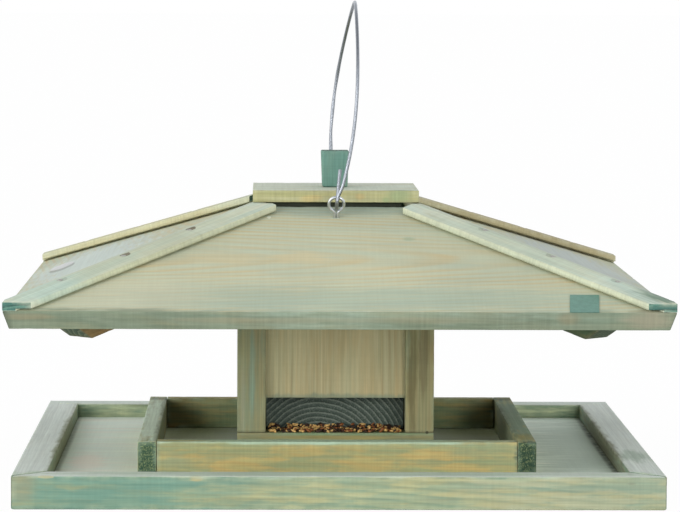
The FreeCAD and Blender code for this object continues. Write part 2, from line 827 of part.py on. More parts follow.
curve = Part.BSplineCurve()
curve.interpolate(Points=handle_points(), InitialTangent=FreeCAD.Vector(0, 0, 1),
                  FinalTangent=FreeCAD.Vector(0, 0, -1))
edges = hook_edges(-1) + [curve.toShape()] + list(reversed(hook_edges(1)))
spine = Part.Wire(Part.__sortEdges__(edges))
start = FreeCAD.Vector(0, hook - span, size("hook_rise").value)
circle = Part.Wire(Part.makeCircle(size("handle_wire").value / 2, start, FreeCAD.Vector(0, 0, 1)))
handle = doc.addObject("Part::Feature", "wire_handle")
handle.Label = "wire_handle"
handle.Shape = spine.makePipeShell([circle], True, False)
handle.Placement = FreeCAD.Placement(
    FreeCAD.Vector(0, 0, hinge.z),
    FreeCAD.Rotation(FreeCAD.Vector(0, 1, 0), size("handle_lean").value))
pieces.append(handle)

doc.recompute()

# Every object must be sound before anything is written.
for thing in doc.Objects:
    state = " ".join(thing.State)
    if "Invalid" in state or "Error" in state:
        raise RuntimeError("not sound: %s (%s)" % (thing.Label, state))
os.makedirs("parts", exist_ok=True)
for piece in pieces:
    shape = piece.Shape
    if shape.isNull() or not shape.isValid() or not shape.Solids:
        raise RuntimeError("no valid solid: " + piece.Label)
    shape.exportStep(os.path.join("parts", piece.Label + ".step"))
    box = shape.BoundBox
    print("%-28s solids %2d  volume %9.0f  x %.1f..%.1f  y %.1f..%.1f  z %.1f..%.1f" % (
        piece.Label, len(shape.Solids), shape.Volume,
        box.XMin, box.XMax, box.YMin, box.YMax, box.ZMin, box.ZMax))
print("hinge height", round(hinge.z, 3), "hinge reach", round(span, 3))
print("pieces:", len(pieces))
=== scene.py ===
import math
import random
from functools import partial

import bpy
import numpy as np
from mathutils import Matrix, Vector, noise


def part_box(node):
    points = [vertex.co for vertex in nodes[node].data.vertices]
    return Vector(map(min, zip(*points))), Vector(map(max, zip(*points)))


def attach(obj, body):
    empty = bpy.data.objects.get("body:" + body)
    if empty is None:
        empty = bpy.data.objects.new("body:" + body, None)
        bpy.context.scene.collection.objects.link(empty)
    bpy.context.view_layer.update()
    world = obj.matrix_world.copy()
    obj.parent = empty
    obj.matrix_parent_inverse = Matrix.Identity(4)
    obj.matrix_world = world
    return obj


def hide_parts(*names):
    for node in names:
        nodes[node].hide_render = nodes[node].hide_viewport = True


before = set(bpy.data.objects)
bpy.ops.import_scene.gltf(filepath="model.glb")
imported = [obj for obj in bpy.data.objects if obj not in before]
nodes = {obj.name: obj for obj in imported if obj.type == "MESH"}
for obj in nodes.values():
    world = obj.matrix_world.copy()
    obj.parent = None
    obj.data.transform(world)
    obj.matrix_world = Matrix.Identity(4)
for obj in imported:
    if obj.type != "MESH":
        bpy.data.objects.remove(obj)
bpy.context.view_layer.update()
scene = bpy.context.scene
random.seed(11)

# Camera

focal_pixels = 3621.0
picture_width, picture_height = 680.0, 512.0
yaw, pitch, roll = (math.radians(angle) for angle in (1.161, 4.255, 0.255))
forward = Vector((math.sin(yaw), math.cos(yaw), 0))
right = Vector((math.cos(yaw), -math.sin(yaw), 0))
up = Vector((0, 0, 1))
look_way = forward * math.cos(pitch) - up * math.sin(pitch)
rise = up * math.cos(pitch) + forward * math.sin(pitch)
right_rolled = right * math.cos(roll) + rise * math.sin(roll)
rise_rolled = rise * math.cos(roll) - right * math.sin(roll)
camera_data = bpy.data.cameras.new("camera")
camera_data.sensor_width = 36.0
camera_data.lens = camera_data.sensor_width * focal_pixels / picture_width
camera_data.clip_start = 0.1
camera_data.clip_end = 100.0
camera = bpy.data.objects.new("camera", camera_data)
turn = Matrix((right_rolled, rise_rolled, -look_way)).transposed().to_4x4()
camera.matrix_world = Matrix.Translation((-0.067, -3.5832, 0.4775)) @ turn
scene.collection.objects.link(camera)
scene.camera = camera
scene.view_settings.view_transform = "Standard"


# Node trees
class Graph:
    """Short calls for building a node tree."""

    def __init__(self, tree):
        self.tree = tree

    def node(self, kind, **settings):
        made = self.tree.nodes.new(kind)
        for key, value in settings.items():
            setattr(made, key, value)
        return made

    def feed(self, socket, value):
        if isinstance(value, bpy.types.NodeSocket):
            self.tree.links.new(value, socket)
        elif value is not None:
            socket.default_value = value

    def math(self, operation, a, b=None, c=None, clamp=False):
        made = self.node("ShaderNodeMath", operation=operation, use_clamp=clamp)
        for socket, value in zip(made.inputs, (a, b, c)):
            self.feed(socket, value)
        return made.outputs[0]

    def plus(self, a, b):
        return self.math("ADD", a, b)

    def times(self, a, b):
        return self.math("MULTIPLY", a, b)

    def scaled(self, vector, scale, shift=(0, 0, 0)):
        made = self.node("ShaderNodeMapping")
        self.feed(made.inputs["Vector"], vector)
        made.inputs["Scale"].default_value = scale
        made.inputs["Location"].default_value = shift
        return made.outputs[0]

    def noise(self, vector, scale, detail=2.0, rough=0.5, shift=(0, 0, 0)):
        made = self.node("ShaderNodeTexNoise")
        self.feed(made.inputs["Vector"], self.scaled(vector, scale, shift))
        made.inputs["Scale"].default_value = 1.0
        made.inputs["Detail"].default_value = detail
        made.inputs["Roughness"].default_value = rough
        return made.outputs[0]

    def range(self, value, low, high, to_low=0.0, to_high=1.0, smooth=False):
        made = self.node("ShaderNodeMapRange", clamp=True)
        if smooth:
            made.interpolation_type = "SMOOTHSTEP"
        self.feed(made.inputs["Value"], value)
        numbers = {"From Min": low, "From Max": high, "To Min": to_low, "To Max": to_high}
        for name, number in numbers.items():
            made.inputs[name].default_value = number
        return made.outputs[0]

    def mix(self, factor, a, b, kind="MIX"):
        made = self.node("ShaderNodeMix", data_type="RGBA", blend_type=kind)
        self.feed(made.inputs[0], factor)
        for index, value in ((6, a), (7, b)):
            if isinstance(value, tuple):
                value = (*value[:3], 1.0)
            self.feed(made.inputs[index], value)
        return made.outputs[2]

    def attribute(self, name):
        return self.node("ShaderNodeAttribute", attribute_name=name)

    def stops(self, value, pairs):
        """A smooth grey ramp through pairs of position and value."""
        made = self.node("ShaderNodeValToRGB")
        made.color_ramp.interpolation = "B_SPLINE"
        elements = made.color_ramp.elements
        for _ in range(len(pairs) - len(elements)):
            elements.new(0.5)
        for element, (position, level) in zip(elements, pairs):
            element.position = position
            element.color = (level, level, level, 1)
        self.feed(made.inputs[0], value)
        return made.outputs[0]

    def toned(self, colour, tone):
        """A colour made darker or lighter by one number."""
        shade = self.node("ShaderNodeVectorMath", operation="SCALE")
        self.feed(shade.inputs[0], colour)
        self.feed(shade.inputs["Scale"], tone)
        return shade.outputs[0]

    def spot(self, place, grain, centre, radii, share, fray=1.6, rims=(0.35, 1.15)):
        """share in the middle of an ellipsoid, 0 outside, its rim frayed along the grain."""
        scale = tuple(1.0 / radius for radius in radii)
        shift = tuple(-middle / radius for middle, radius in zip(centre, radii))
        apart = self.node("ShaderNodeVectorMath", operation="LENGTH")
        self.feed(apart.inputs[0], self.scaled(place, scale, shift))
        uneven = self.noise(grain, (25.0, 160.0, 160.0), 3.0, 0.6)
        rim = self.math("MULTIPLY_ADD", self.math("SUBTRACT", uneven, 0.5), fray,
                        apart.outputs["Value"])
        return self.range(rim, *rims, share, 0.0, True)

    def surface(self, colour, rough, height, bump, depth, **inputs):
        """The shader of a material, its gloss uneven and its normal bumped."""
        shader = self.node("ShaderNodeBsdfPrincipled")
        self.feed(shader.inputs["Base Color"], colour)
        self.feed(shader.inputs["Roughness"], rough)
        for name, value in inputs.items():
            shader.inputs[name].default_value = value
        lift = self.node("ShaderNodeBump")
        lift.inputs["Strength"].default_value = bump
        lift.inputs["Distance"].default_value = depth
        self.feed(lift.inputs["Height"], height)
        self.feed(shader.inputs["Normal"], lift.outputs[0])
        self.feed(self.node("ShaderNodeOutputMaterial").inputs[0], shader.outputs[0])

    def blend(self, factor, a, b):
        """One shader laid over another."""
        made = self.node("ShaderNodeMixShader")
        for socket, value in zip(made.inputs, (factor, a.outputs[0], b.outputs[0])):
            self.feed(socket, value)
        return made.outputs[0]


def fresh_graph(owner):
    """The emptied node tree of a material or the world."""
    owner.use_nodes = True
    owner.node_tree.nodes.clear()
    return Graph(owner.node_tree)


# Light, floor and background
# Two square soft lamps point at the tray. Each has a name, a place and a power.
for name, place, power in (("light_left", (-2.5, -2.3, 0.9), 44),
                           ("light_right", (1.3, -3.4, 0.5), 28)):
    lamp_data = bpy.data.lights.new(name, "AREA")
    lamp_data.shape = "SQUARE"
    lamp_data.size = 1.4
    lamp_data.energy = power
    lamp = bpy.data.objects.new(name, lamp_data)
    lamp.location = place
    aim = Vector((0, 0, 0.1)) - Vector(place)
    lamp.rotation_mode = "QUATERNION"
    lamp.rotation_quaternion = aim.to_track_quat("-Z", "Y")
    scene.collection.objects.link(lamp)

# The sky dims toward the zenith, and what the camera sees of it is plain white.
world = bpy.data.worlds.new("studio")
scene.world = world
g = fresh_graph(world)
height = g.node("ShaderNodeSeparateXYZ")
g.feed(height.inputs[0], g.node("ShaderNodeTexCoord").outputs["Generated"])
sky = g.node("ShaderNodeBackground")
g.feed(sky.inputs["Color"], (0.95, 0.97, 1.0, 1))
g.feed(sky.inputs["Strength"], g.range(height.outputs[2], 0.45, 0.95, 1.22, 0.5))
white = g.node("ShaderNodeBackground")
g.feed(white.inputs["Color"], (1, 1, 1, 1))
g.feed(white.inputs["Strength"], 1.0)
path = g.node("ShaderNodeLightPath")
seen = g.math("MAXIMUM", path.outputs["Is Camera Ray"], path.outputs["Is Transmission Ray"])
g.feed(g.node("ShaderNodeOutputWorld").inputs[0], g.blend(seen, sky, white))

# The floor glows a little short of white, so its shadow still shows.
floor_drop = 0.0004
floor_mesh = bpy.data.meshes.new("studio_floor")
floor_mesh.from_pydata([(-30, -8, 0), (30, -8, 0), (30, 60, 0), (-30, 60, 0)], [], [(0, 1, 2, 3)])
floor = bpy.data.objects.new("studio_floor", floor_mesh)
floor.location.z = -floor_drop
scene.collection.objects.link(floor)
floor_look = bpy.data.materials.new("studio_floor")
g = fresh_graph(floor_look)
matte = g.node("ShaderNodeBsdfDiffuse")
g.feed(matte.inputs["Color"], (0.92, 0.92, 0.92, 1))
glow = g.node("ShaderNodeEmission")
g.feed(glow.inputs["Strength"], 1.0)
path = g.node("ShaderNodeLightPath")
share = g.times(path.outputs["Is Camera Ray"], 0.97)
g.feed(g.node("ShaderNodeOutputMaterial").inputs[0], g.blend(share, matte, glow))
floor_mesh.materials.append(floor_look)


# Wood
def linear(colour):
    """Screen colour 0..255 to the renderer's linear values."""
    result = []
    for value in colour:
        value = value / 255.0
        result.append(value / 12.92 if value <= 0.04045 else ((value + 0.055) / 1.055) ** 2.4)
    return tuple(result)


grey_ends = ((62, 92, 84), (120, 146, 126))


def wood_look(name, base, late, stain, tan, ends=grey_ends, side=None, wear=None, spacing=0.005,
              taper=0.02, line=0.6, stain_share=0.4, tan_share=0.3, fibre=0.5, saw=0.05, bump=0.25,
              wander=0.0012, patch=1.0, firm=0.0, ring_low=0.15, arcs=1.0, flecks=0.4, tops=None,
              under=(), patches=(), marks_on=(), shades=()):
    """Treated softwood: rings about a pith line, fibres, saw marks, stain, end grain, worn edges.
    It reads the board's own grain frame from the wood attribute: along, across, depth.
    All colours are as seen on screen, 0 to 255.
    base, late, stain, tan: the ground, the dark rings, and the two kinds of stain patch.
    ends: dark and light tone of the end grain. side: tone of the narrow long faces.
    wear: tone of the worn edges, the ground's if left out.
    spacing and taper: distance of the rings, and how they spread along the board.
    patch above 1 makes the stain patches smaller, firm makes their rims harder.
    ring_low: the faintest a ring gets. wander: how far the rings stray.
    arcs and flecks: strength of rings and pores in the end grain.
    tops: painted light, a paler colour on faces that look up, and its share.
    under: spots below the figure. patches: soft spots. marks_on: sharp spots. Each is a place,
    radii, a colour and a share. shades: spots of painted shade, each a place, radii and a share."""
    material = bpy.data.materials.new(name)
    g = fresh_graph(material)
    board = g.attribute("wood").outputs["Vector"]
    shifted = g.node("ShaderNodeVectorMath", operation="ADD")
    g.feed(shifted.inputs[0], board)
    g.feed(shifted.inputs[1], g.attribute("shift").outputs["Vector"])
    grain = shifted.outputs[0]
    edge = g.attribute("edge").outputs["Fac"]
    cut = g.attribute("endgrain").outputs["Fac"]
    narrow = g.attribute("narrow").outputs["Fac"]
    split = g.node("ShaderNodeSeparateXYZ")
    g.feed(split.inputs[0], board)
    along, across, depth = split.outputs
    place = g.node("ShaderNodeTexCoord").outputs["Object"]

    def tinted(colour, spots, *rim):
        """A colour with spots of other colours laid on it."""
        for centre, radii, tint, amount in spots:
            colour = g.mix(g.spot(place, grain, centre, radii, amount, *rim), colour, linear(tint))
        return colour

    # Rings: distance from the pith, bent by slow noise
    radius = g.math("SQRT", g.plus(g.times(across, across), g.times(depth, depth)))
    radius = g.plus(radius, g.times(along, taper))
    slow = g.noise(grain, (5.0, 20.0, 20.0))
    radius = g.plus(radius, g.times(g.math("SUBTRACT", slow, 0.5), wander * 4))
    fine_bend = g.noise(grain, (20.0, 110.0, 110.0))
    radius = g.plus(radius, g.times(g.math("SUBTRACT", fine_bend, 0.5), wander))
    phase = g.math("FRACT", g.math("DIVIDE", radius, spacing))
    ring = g.stops(phase, ((0.0, 0.3), (0.16, 0.0), (0.5, 0.1), (0.84, 1.0), (1.0, 0.3)))
    vary = g.noise(grain, (4.0, 26.0, 26.0), 3.0, shift=(5, 2, 1))
    ring_seen = g.times(ring, g.range(vary, 0.35, 0.65, ring_low, 1.0))

    # Fibres run along the grain, saw marks across it
    fibres = g.noise(grain, (18.0, 650.0, 650.0), 3.0, 0.6)
    streaks = g.noise(grain, (7.0, 230.0, 230.0), 3.0, 0.6, shift=(3, 1, 7))
    lines = g.noise(grain, (3.0, 360.0, 360.0), 4.0, 0.65, shift=(4, 4, 9))
    sawing = g.noise(grain, (420.0, 12.0, 12.0), 2.0, 0.6, shift=(2, 7, 5))

    colour = g.mix(g.times(ring_seen, line), tinted(linear(base), under), linear(late))
    tan_patch = g.noise(grain, (8.0 * patch, 60.0 * patch, 60.0 * patch), 4.0, 0.6, shift=(9, 4, 2))
    tan_mask = g.range(tan_patch, 0.45, 0.68 - firm, smooth=True)
    colour = g.mix(g.times(tan_mask, tan_share), colour, linear(tan))
    stain_patch = g.noise(grain, (9.0 * patch, 45.0 * patch, 45.0 * patch), 4.0, 0.6, shift=(1, 8, 3))
    stain_mask = g.range(stain_patch, 0.42, 0.64 - firm, smooth=True)
    stain_mask = g.times(stain_mask, g.range(streaks, 0.3, 0.7, 0.4, 1.0))
    colour = g.mix(g.times(stain_mask, stain_share), colour, linear(stain))
    if side is not None:
        side_mix = g.range(streaks, 0.3, 0.7, 0.65, 0.95)
        colour = g.mix(g.times(narrow, side_mix), colour, linear(side))
    # Painted light: faces that look up are made paler, as if lit from above.
    if tops is not None:
        facing = g.node("ShaderNodeSeparateXYZ")
        g.feed(facing.inputs[0], g.node("ShaderNodeNewGeometry").outputs["Normal"])
        top_light_share = g.range(facing.outputs[2], 0.6, 0.95, 0.0, tops[1], True)
        colour = g.mix(top_light_share, colour, linear(tops[0]))
    colour = tinted(colour, patches)
    colour = tinted(colour, marks_on, 0.3, (0.85, 1.0))
    tone = g.range(fibres, 0.3, 0.7, 1.0 - 0.22 * fibre, 1.0 + 0.2 * fibre)
    tone = g.times(tone, g.range(lines, 0.3, 0.7, 1.0 - 0.28 * fibre, 1.0 + 0.24 * fibre))
    depth_of_saw = saw if side is None else g.math("MULTIPLY_ADD", narrow, 0.05, saw)
    sawn = g.times(g.range(sawing, 0.3, 0.7, -1.0, 1.0), depth_of_saw)
    tone = g.times(tone, g.plus(sawn, 1.0))
    broad = g.noise(place, (7.0, 7.0, 7.0))
    tone = g.times(tone, g.range(broad, 0.3, 0.7, 0.94, 1.06))
    colour = g.toned(colour, tone)

    # End grain takes up more stain and shows its rings as pale lines and its pores as flecks
    pores = g.noise(grain, (60.0, 900.0, 900.0), 2.0, 0.6, shift=(2, 2, 2))
    blotch = g.noise(grain, (40.0, 200.0, 200.0), 3.0, 0.6, shift=(6, 1, 4))
    pale = g.stops(phase, ((0.0, 0.1), (0.1, 0.0), (0.6, 0.12), (0.78, 1.0), (0.92, 0.3), (1.0, 0.1)))
    pale = g.times(pale, g.range(blotch, 0.3, 0.6, 0.55 * arcs, arcs))
    end_mix = g.math("ADD", pale, g.range(pores, 0.54, 0.66, 0.0, flecks), clamp=True)
    seams = g.stops(phase, ((0.0, 1.0), (0.1, 0.2), (0.2, 0.0), (0.8, 0.0), (1.0, 1.0)))
    dark_end = g.toned(linear(ends[0]), g.range(seams, 0.0, 1.0, 1.0, 1.0 - 0.6 * arcs))
    colour = g.mix(cut, colour, g.mix(end_mix, dark_end, linear(ends[1])))
    # Painted shade: each of the shades darkens the colour in a soft spot, where shadow falls in corners
    # and under things.
    for centre, radii, amount in shades:
        shade = g.spot(place, grain, centre, radii, amount, 0.1, (0.4, 1.0))
        colour = g.toned(colour, g.math("SUBTRACT", 1.0, shade))

    chafe = g.noise(place, (60.0, 60.0, 60.0), 3.0, 0.6)
    worn = g.times(edge, g.range(chafe, 0.4, 0.65, 0.0, 0.45))
    colour = g.mix(worn, colour, linear(wear or base))

    height = g.math("MULTIPLY_ADD", ring_seen, 0.4, g.times(fibres, 0.6))
    height = g.math("MULTIPLY_ADD", sawing, saw * 3, height)
    height = g.plus(height, g.times(pores, g.times(cut, 0.9)))
    g.surface(colour, g.range(fibres, 0.3, 0.7, 0.66, 0.86), height, bump, 0.0005,
              **{"Specular IOR Level": 0.2})
    return material


# Boards
def add_piece(name, mesh, look, body, node):
    """A finished mesh as one smooth piece that takes the place of a CAD node."""
    mesh.polygons.foreach_set("use_smooth", [True] * len(mesh.polygons))
    mesh.materials.append(look)
    mesh.update()
    piece = bpy.data.objects.new(name, mesh)
    scene.collection.objects.link(piece)
    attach(piece, body)
    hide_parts(node)


def stations(length, radius, step, extra=()):
    """Places along one edge of a board: close together in the rounded ends."""
    count = max(1, int(round((length - 2 * radius) / step)))
    places = [0.0, radius * 0.3, radius * 0.65]
    places += [radius + (length - 2 * radius) * i / count for i in range(count + 1)]
    places += [length - radius * 0.65, length - radius * 0.3, length]
    near = min(step, radius) * 0.2
    places = [spot for spot in places if all(abs(spot - other) > near for other in extra)]
    return np.array(sorted(places + list(extra)))


def grid_shell(counts):
    """Keys and faces of the outer shell of a grid of points."""
    index = {}
    keys = []
    last = [count - 1 for count in counts]
    for i in range(counts[0]):
        for j in range(counts[1]):
            inside = 0 < i < last[0] and 0 < j < last[1]
            for k in ((0, last[2]) if inside else range(counts[2])):
                index[(i, j, k)] = len(keys)
                keys.append((i, j, k))
    faces = []
    for axis in range(3):
        a, b = [n for n in range(3) if n != axis]
        for side in (0, last[axis]):
            flip = (axis == 1) ^ (side == 0)
            for p in range(last[a]):
                for q in range(last[b]):
                    ring = []
                    for dp, dq in ((0, 0), (1, 0), (1, 1), (0, 1)):
                        key = [0, 0, 0]
                        key[axis] = side
                        key[a] = p + dp
                        key[b] = q + dq
                        ring.append(index[tuple(key)])
                    faces.append(ring[::-1] if flip else ring)
    return np.array(keys), faces


def slab(node, size, place, look, slot, grain_frame, seed, radii=(0.0006, 0.0009, 0.0009),
         step=0.006, extra=((), (), ()), rough=0.00016, bites=0.0006, body="stand", dents=None,
         wear_reach=0.0035):
    """A board as a closed shell of points that takes the place of one CAD node. size is its
    length along the grain, its width and its thickness, and place turns points of the unit block
    into the row frame. grain_frame is the origin and the three directions of the grain
    attribute. Every change of shape goes inwards."""
    length = np.array(size, float)
    radii = np.minimum(np.array(radii, float), length * 0.3)
    marks = [stations(length[n], radii[n], step, extra[n]) for n in range(3)]
    keys, faces = grid_shell([len(mark) for mark in marks])
    block = np.stack([marks[n][keys[:, n]] for n in range(3)], axis=1)
    core = np.clip(block, radii, length - radii)
    away = (block - core) / radii
    reach = np.abs(away).max(axis=1)
    span = np.linalg.norm(away, axis=1)
    span = np.where(span > 1e-9, span, 1.0)
    rounded = core + away / span[:, None] * reach[:, None] * radii
    points = place(rounded / length)

    gaps = np.minimum(block, length - block)
    edge = np.clip(1.0 - np.sort(gaps, axis=1)[:, 1] / wear_reach, 0, 1)
    end = (gaps[:, 0] < radii[0] * 0.7) & (gaps[:, 1] > radii[1] * 0.3) & (gaps[:, 2] > radii[2] * 0.3)
    narrow = (gaps[:, 1] < radii[1] * 0.7) & ~end

    mesh = bpy.data.meshes.new(node + "_board")
    mesh.from_pydata(points.tolist(), [], faces)
    mesh.update()
    corners = points[np.array(faces)]
    middle = points.mean(axis=0)
    first, second, third = (corners[:, n] - middle for n in range(3))
    if np.einsum("ij,ij->", first, np.cross(second, third)) < 0:
        mesh.flip_normals()
    normals = np.array([vertex.normal for vertex in mesh.vertices])
    shift = Vector((seed * 3.7, seed * 1.3, seed * 2.1))
    sink = np.empty(len(points))
    for n, point in enumerate(points):
        spot = Vector(point)
        slow = 0.5 + 0.5 * noise.noise(spot * 22 + shift)
        bite = max(0.0, noise.noise(spot * 130 + shift) - 0.15) * edge[n]
        sink[n] = 0.00012 + rough * slow + bites * bite
    if dents is not None:
        sink += dents(points, normals)
    points = points - normals * sink[:, None]
    mesh.vertices.foreach_set("co", points.astype(np.float32).ravel())

    origin, axes = grain_frame
    grain = (points - np.array(origin)) @ np.array(axes, float).T
    shift = np.tile((seed * 0.37, 0.0, 0.0), (len(points), 1))
    for label, values in (("wood", grain), ("shift", shift)):
        attribute = mesh.attributes.new(label, "FLOAT_VECTOR", "POINT")
        attribute.data.foreach_set("vector", values.astype(np.float32).ravel())
    for label, values in (("edge", edge), ("endgrain", end), ("narrow", narrow)):
        attribute = mesh.attributes.new(label, "FLOAT", "POINT")
        attribute.data.foreach_set("value", values.astype(np.float32))
    add_piece(node + "_board", mesh, look, body, node)


def stretched(corners):
    """The unit block stretched to eight corners given as corners[u][v][w] in metres."""
    corners = np.array(corners, float)

    def place(units):
        result = 0
        for corner in np.ndindex(2, 2, 2):
            weight = 1
            for axis, far in enumerate(corner):
                weight = weight * (units[:, axis] if far else 1 - units[:, axis])
            result = result + weight[:, None] * corners[corner]
        return result

    return place


def quarter_turn(points, turns):
    """Turn points or directions about the upright axis in quarter turns."""
    cosine, sine = ((1, 0), (0, 1), (-1, 0), (0, -1))[turns % 4]
    points = np.array(points, float)
    result = points.copy()
    result[..., 0] = points[..., 0] * cosine - points[..., 1] * sine
    result[..., 1] = points[..., 0] * sine + points[..., 1] * cosine
    return result


# Axes of the row frame that run along, across and through a board, by its grain's axis
GRAIN_ORDER = {0: [0, 1, 2], 1: [1, 0, 2], 2: [2, 0, 1]}


def box_of(node):
    """Low and high corner of a CAD node in metres."""
    low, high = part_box(node)
    return np.array(low, float), np.array(high, float)


def box_grain(low, high, grain_axis, pith):
    """Grain frame of a board that fills a box, its grain along one axis of the row frame.
    pith is the middle of the rings, across and in depth, from the middle of the box."""
    axes = np.eye(3)[GRAIN_ORDER[grain_axis]]
    return (low + high) / 2 + axes[1] * pith[0] + axes[2] * pith[1], axes


def box_board(node, grain_axis, look, slot, seed, pith=(0.0, -0.03), reach=(0, 0, 0), **rest):
    """A square-cut board over the box of its CAD node. reach lets it run a little into its
    neighbours at both ends, where a joint would show light."""
    low, high = box_of(node)
    low, high = low - reach, high + reach
    order = GRAIN_ORDER[grain_axis]

    def place(units):
        points = np.empty_like(units)
        points[:, order] = low[order] + units * (high - low)[order]
        return points

    grain = box_grain(low, high, grain_axis, pith)
    slab(node, (high - low)[order], place, look, slot, grain, seed, **rest)


SIDES = ("front", "right", "back", "left")
CORNERS = ("front_right", "back_right", "back_left", "front_left")
# The axis each straight bar runs along
BAR_AXES = {"front": 0, "back": 0, "left": 1, "right": 1}

# Sizes that the slanting boards need, read from the boxes of the CAD nodes
rail_low, rail_high = box_of("tray_rail_front")
panel_low, panel_high = box_of("roof_panel_front")
roof_half = -panel_low[1]
opening_half = -panel_high[1]
board_thick = box_of("tray_floor")[1][2]
rail = rail_high[1] - rail_low[1]
# The slope is the CAD's rise over run. The panel's long edges are cut square to its face.
slope = 0.341
slope_length = math.hypot(1, slope)
eave_top = panel_high[2] - slope * (roof_half - opening_half)
thick_out = board_thick * slope / slope_length
thick_down = board_thick / slope_length
up_slope = np.array((0, 1, slope)) / slope_length
off_slope = np.array((0, -slope, 1)) / slope_length
DIAGONAL = math.sqrt(2)
hip_slope = slope / DIAGONAL
hip_length = math.hypot(1, hip_slope)
# How deep under the front panel's face the pith of its figure lies
flame_depth = 0.038

# Battens, one of them cut short, with a gap under their long edges
batten_wide = 0.038
batten_thick = 0.008
batten_rise = batten_thick * slope_length
short_cut = 0.0085
foot_gap = 0.0022
foot_depth = 0.010
# Nails: level distances from the middle along the hip, measured back from the eave's corner
nail_alongs = [roof_half * DIAGONAL - back for back in (0.070, 0.149, 0.234)]
nail_head = 0.0028
deepest_nail = 0.0012
# How deep each nail is driven under the fold: low, middle, high
nail_depths = {
    "front_left": (0.0002, 0.0011, deepest_nail),
    "front_right": (0.0002, 0.0003, 0.0002),
    "back_right": (0.0006, 0.0010, 0.0008),
    "back_left": (0.0008, 0.0005, 0.0011)}


def hip_top(along):
    """Height of the hip's top line at a level distance from the middle along the diagonal."""
    return eave_top + slope * (roof_half - along / DIAGONAL)


def seen_at(pixel, point, normal):
    """Where the camera's line through a pixel of the 680 by 512 picture meets a plane."""
    across_pixels = pixel[0] - picture_width / 2
    down_pixels = pixel[1] - picture_height / 2
    ray = look_way * focal_pixels + right_rolled * across_pixels - rise_rolled * down_pixels
    start = camera.matrix_world.translation
    normal = Vector(normal)
    reach = (Vector(point) - start).dot(normal) / ray.dot(normal)
    return tuple(start + ray * reach)


def on_front(x, y, level):
    """Point seen at a pixel on an upright plane that faces the front."""
    return seen_at((x, y), (0, level, 0), (0, 1, 0))


def on_level(x, y, level):
    """Point seen at a pixel on a level plane."""
    return seen_at((x, y), (0, 0, level), (0, 0, 1))


def on_panel(x, y):
    """Point seen at a pixel on the top of the front roof panel."""
    return seen_at((x, y), (0, -roof_half, eave_top), (0, -slope, 1))


def on_side_panel(x, y):
    """Point seen at a pixel on the top of the left roof panel."""
    return seen_at((x, y), (-roof_half, 0, eave_top), (-slope, 0, 1))


def on_fold(hand, along):
    """Point on the fold of a front batten, a level distance from the middle along the hip."""
    return (hand * along / DIAGONAL, -along / DIAGONAL, hip_top(along) + batten_rise)


on_eave = partial(on_front, level=-roof_half)
on_rail = partial(on_front, level=rail_low[1])
on_feed = partial(on_front, level=box_of("feed_rail_front")[0][1])
on_wall = partial(on_front, level=box_of("silo_wall_front")[0][1])
on_post = partial(on_front, level=box_of("silo_post_front_left")[0][1])
on_lid = partial(on_front, level=box_of("lid_board")[0][1])
rail_top = rail_high[2]
feed_top = box_of("feed_rail_front")[1][2]

roof_look = wood_look(
    "roof_wood", (184, 189, 163), (192, 170, 124), (158, 176, 162), (194, 178, 138),
    side=(102, 115, 95), wear=(128, 142, 118), spacing=0.0071, taper=0.085, line=0.95,
    stain_share=0.3, tan_share=0.25, fibre=0.2, saw=0.02, bump=0.06, ring_low=0.25, patches=(
        # Painted shadow: the strip of the front panel just under the lid is darker.
        (on_panel(338, 208), (0.13, 0.025, 0.03), (134, 154, 144), 0.65),
        (on_panel(330, 300), (0.36, 0.035, 0.03), (152, 172, 156), 0.5),
        (on_panel(120, 296), (0.10, 0.05, 0.03), (190, 186, 158), 0.5),
        (on_panel(226, 258), (0.044, 0.018, 0.03), (202, 184, 140), 0.5),
        (on_panel(300, 258), (0.036, 0.016, 0.03), (204, 186, 142), 0.55),
        (on_panel(409, 239), (0.007, 0.006, 0.005), (126, 158, 134), 0.4),
        (on_eave(569, 320), (0.012, 0.01, 0.007), (138, 126, 98), 0.45),
        (on_eave(600, 318), (0.026, 0.01, 0.02), (108, 126, 108), 0.4),
        (on_eave(648, 318), (0.026, 0.01, 0.02), (148, 142, 120), 0.7),
        (on_eave(100, 318), (0.12, 0.01, 0.02), (94, 110, 92), 0.6),
        (on_eave(30, 317), (0.03, 0.01, 0.004), (140, 128, 100), 0.5),
        (on_eave(250, 321), (0.09, 0.01, 0.004), (136, 132, 106), 0.5),
        (on_eave(420, 321), (0.08, 0.01, 0.004), (138, 134, 108), 0.5),
        ((-0.24, 0.02, 0.20), (0.09, 0.24, 0.06), (190, 200, 192), 0.92),
        ((0.24, 0.02, 0.20), (0.09, 0.24, 0.06), (180, 188, 182), 0.92)),
    marks_on=(
        (on_panel(269, 217), (0.002, 0.004, 0.003), (226, 230, 212), 0.6),
        # A pale oval with a darker band just below it on the left roof panel: painted highlight and
        # painted shadow, standing for a small raised disc there.
        (on_side_panel(62, 267.5), (0.014, 0.042, 0.02), (134, 136, 128), 0.6),
        (on_side_panel(62, 266), (0.013, 0.038, 0.02), (204, 204, 202), 0.9)))
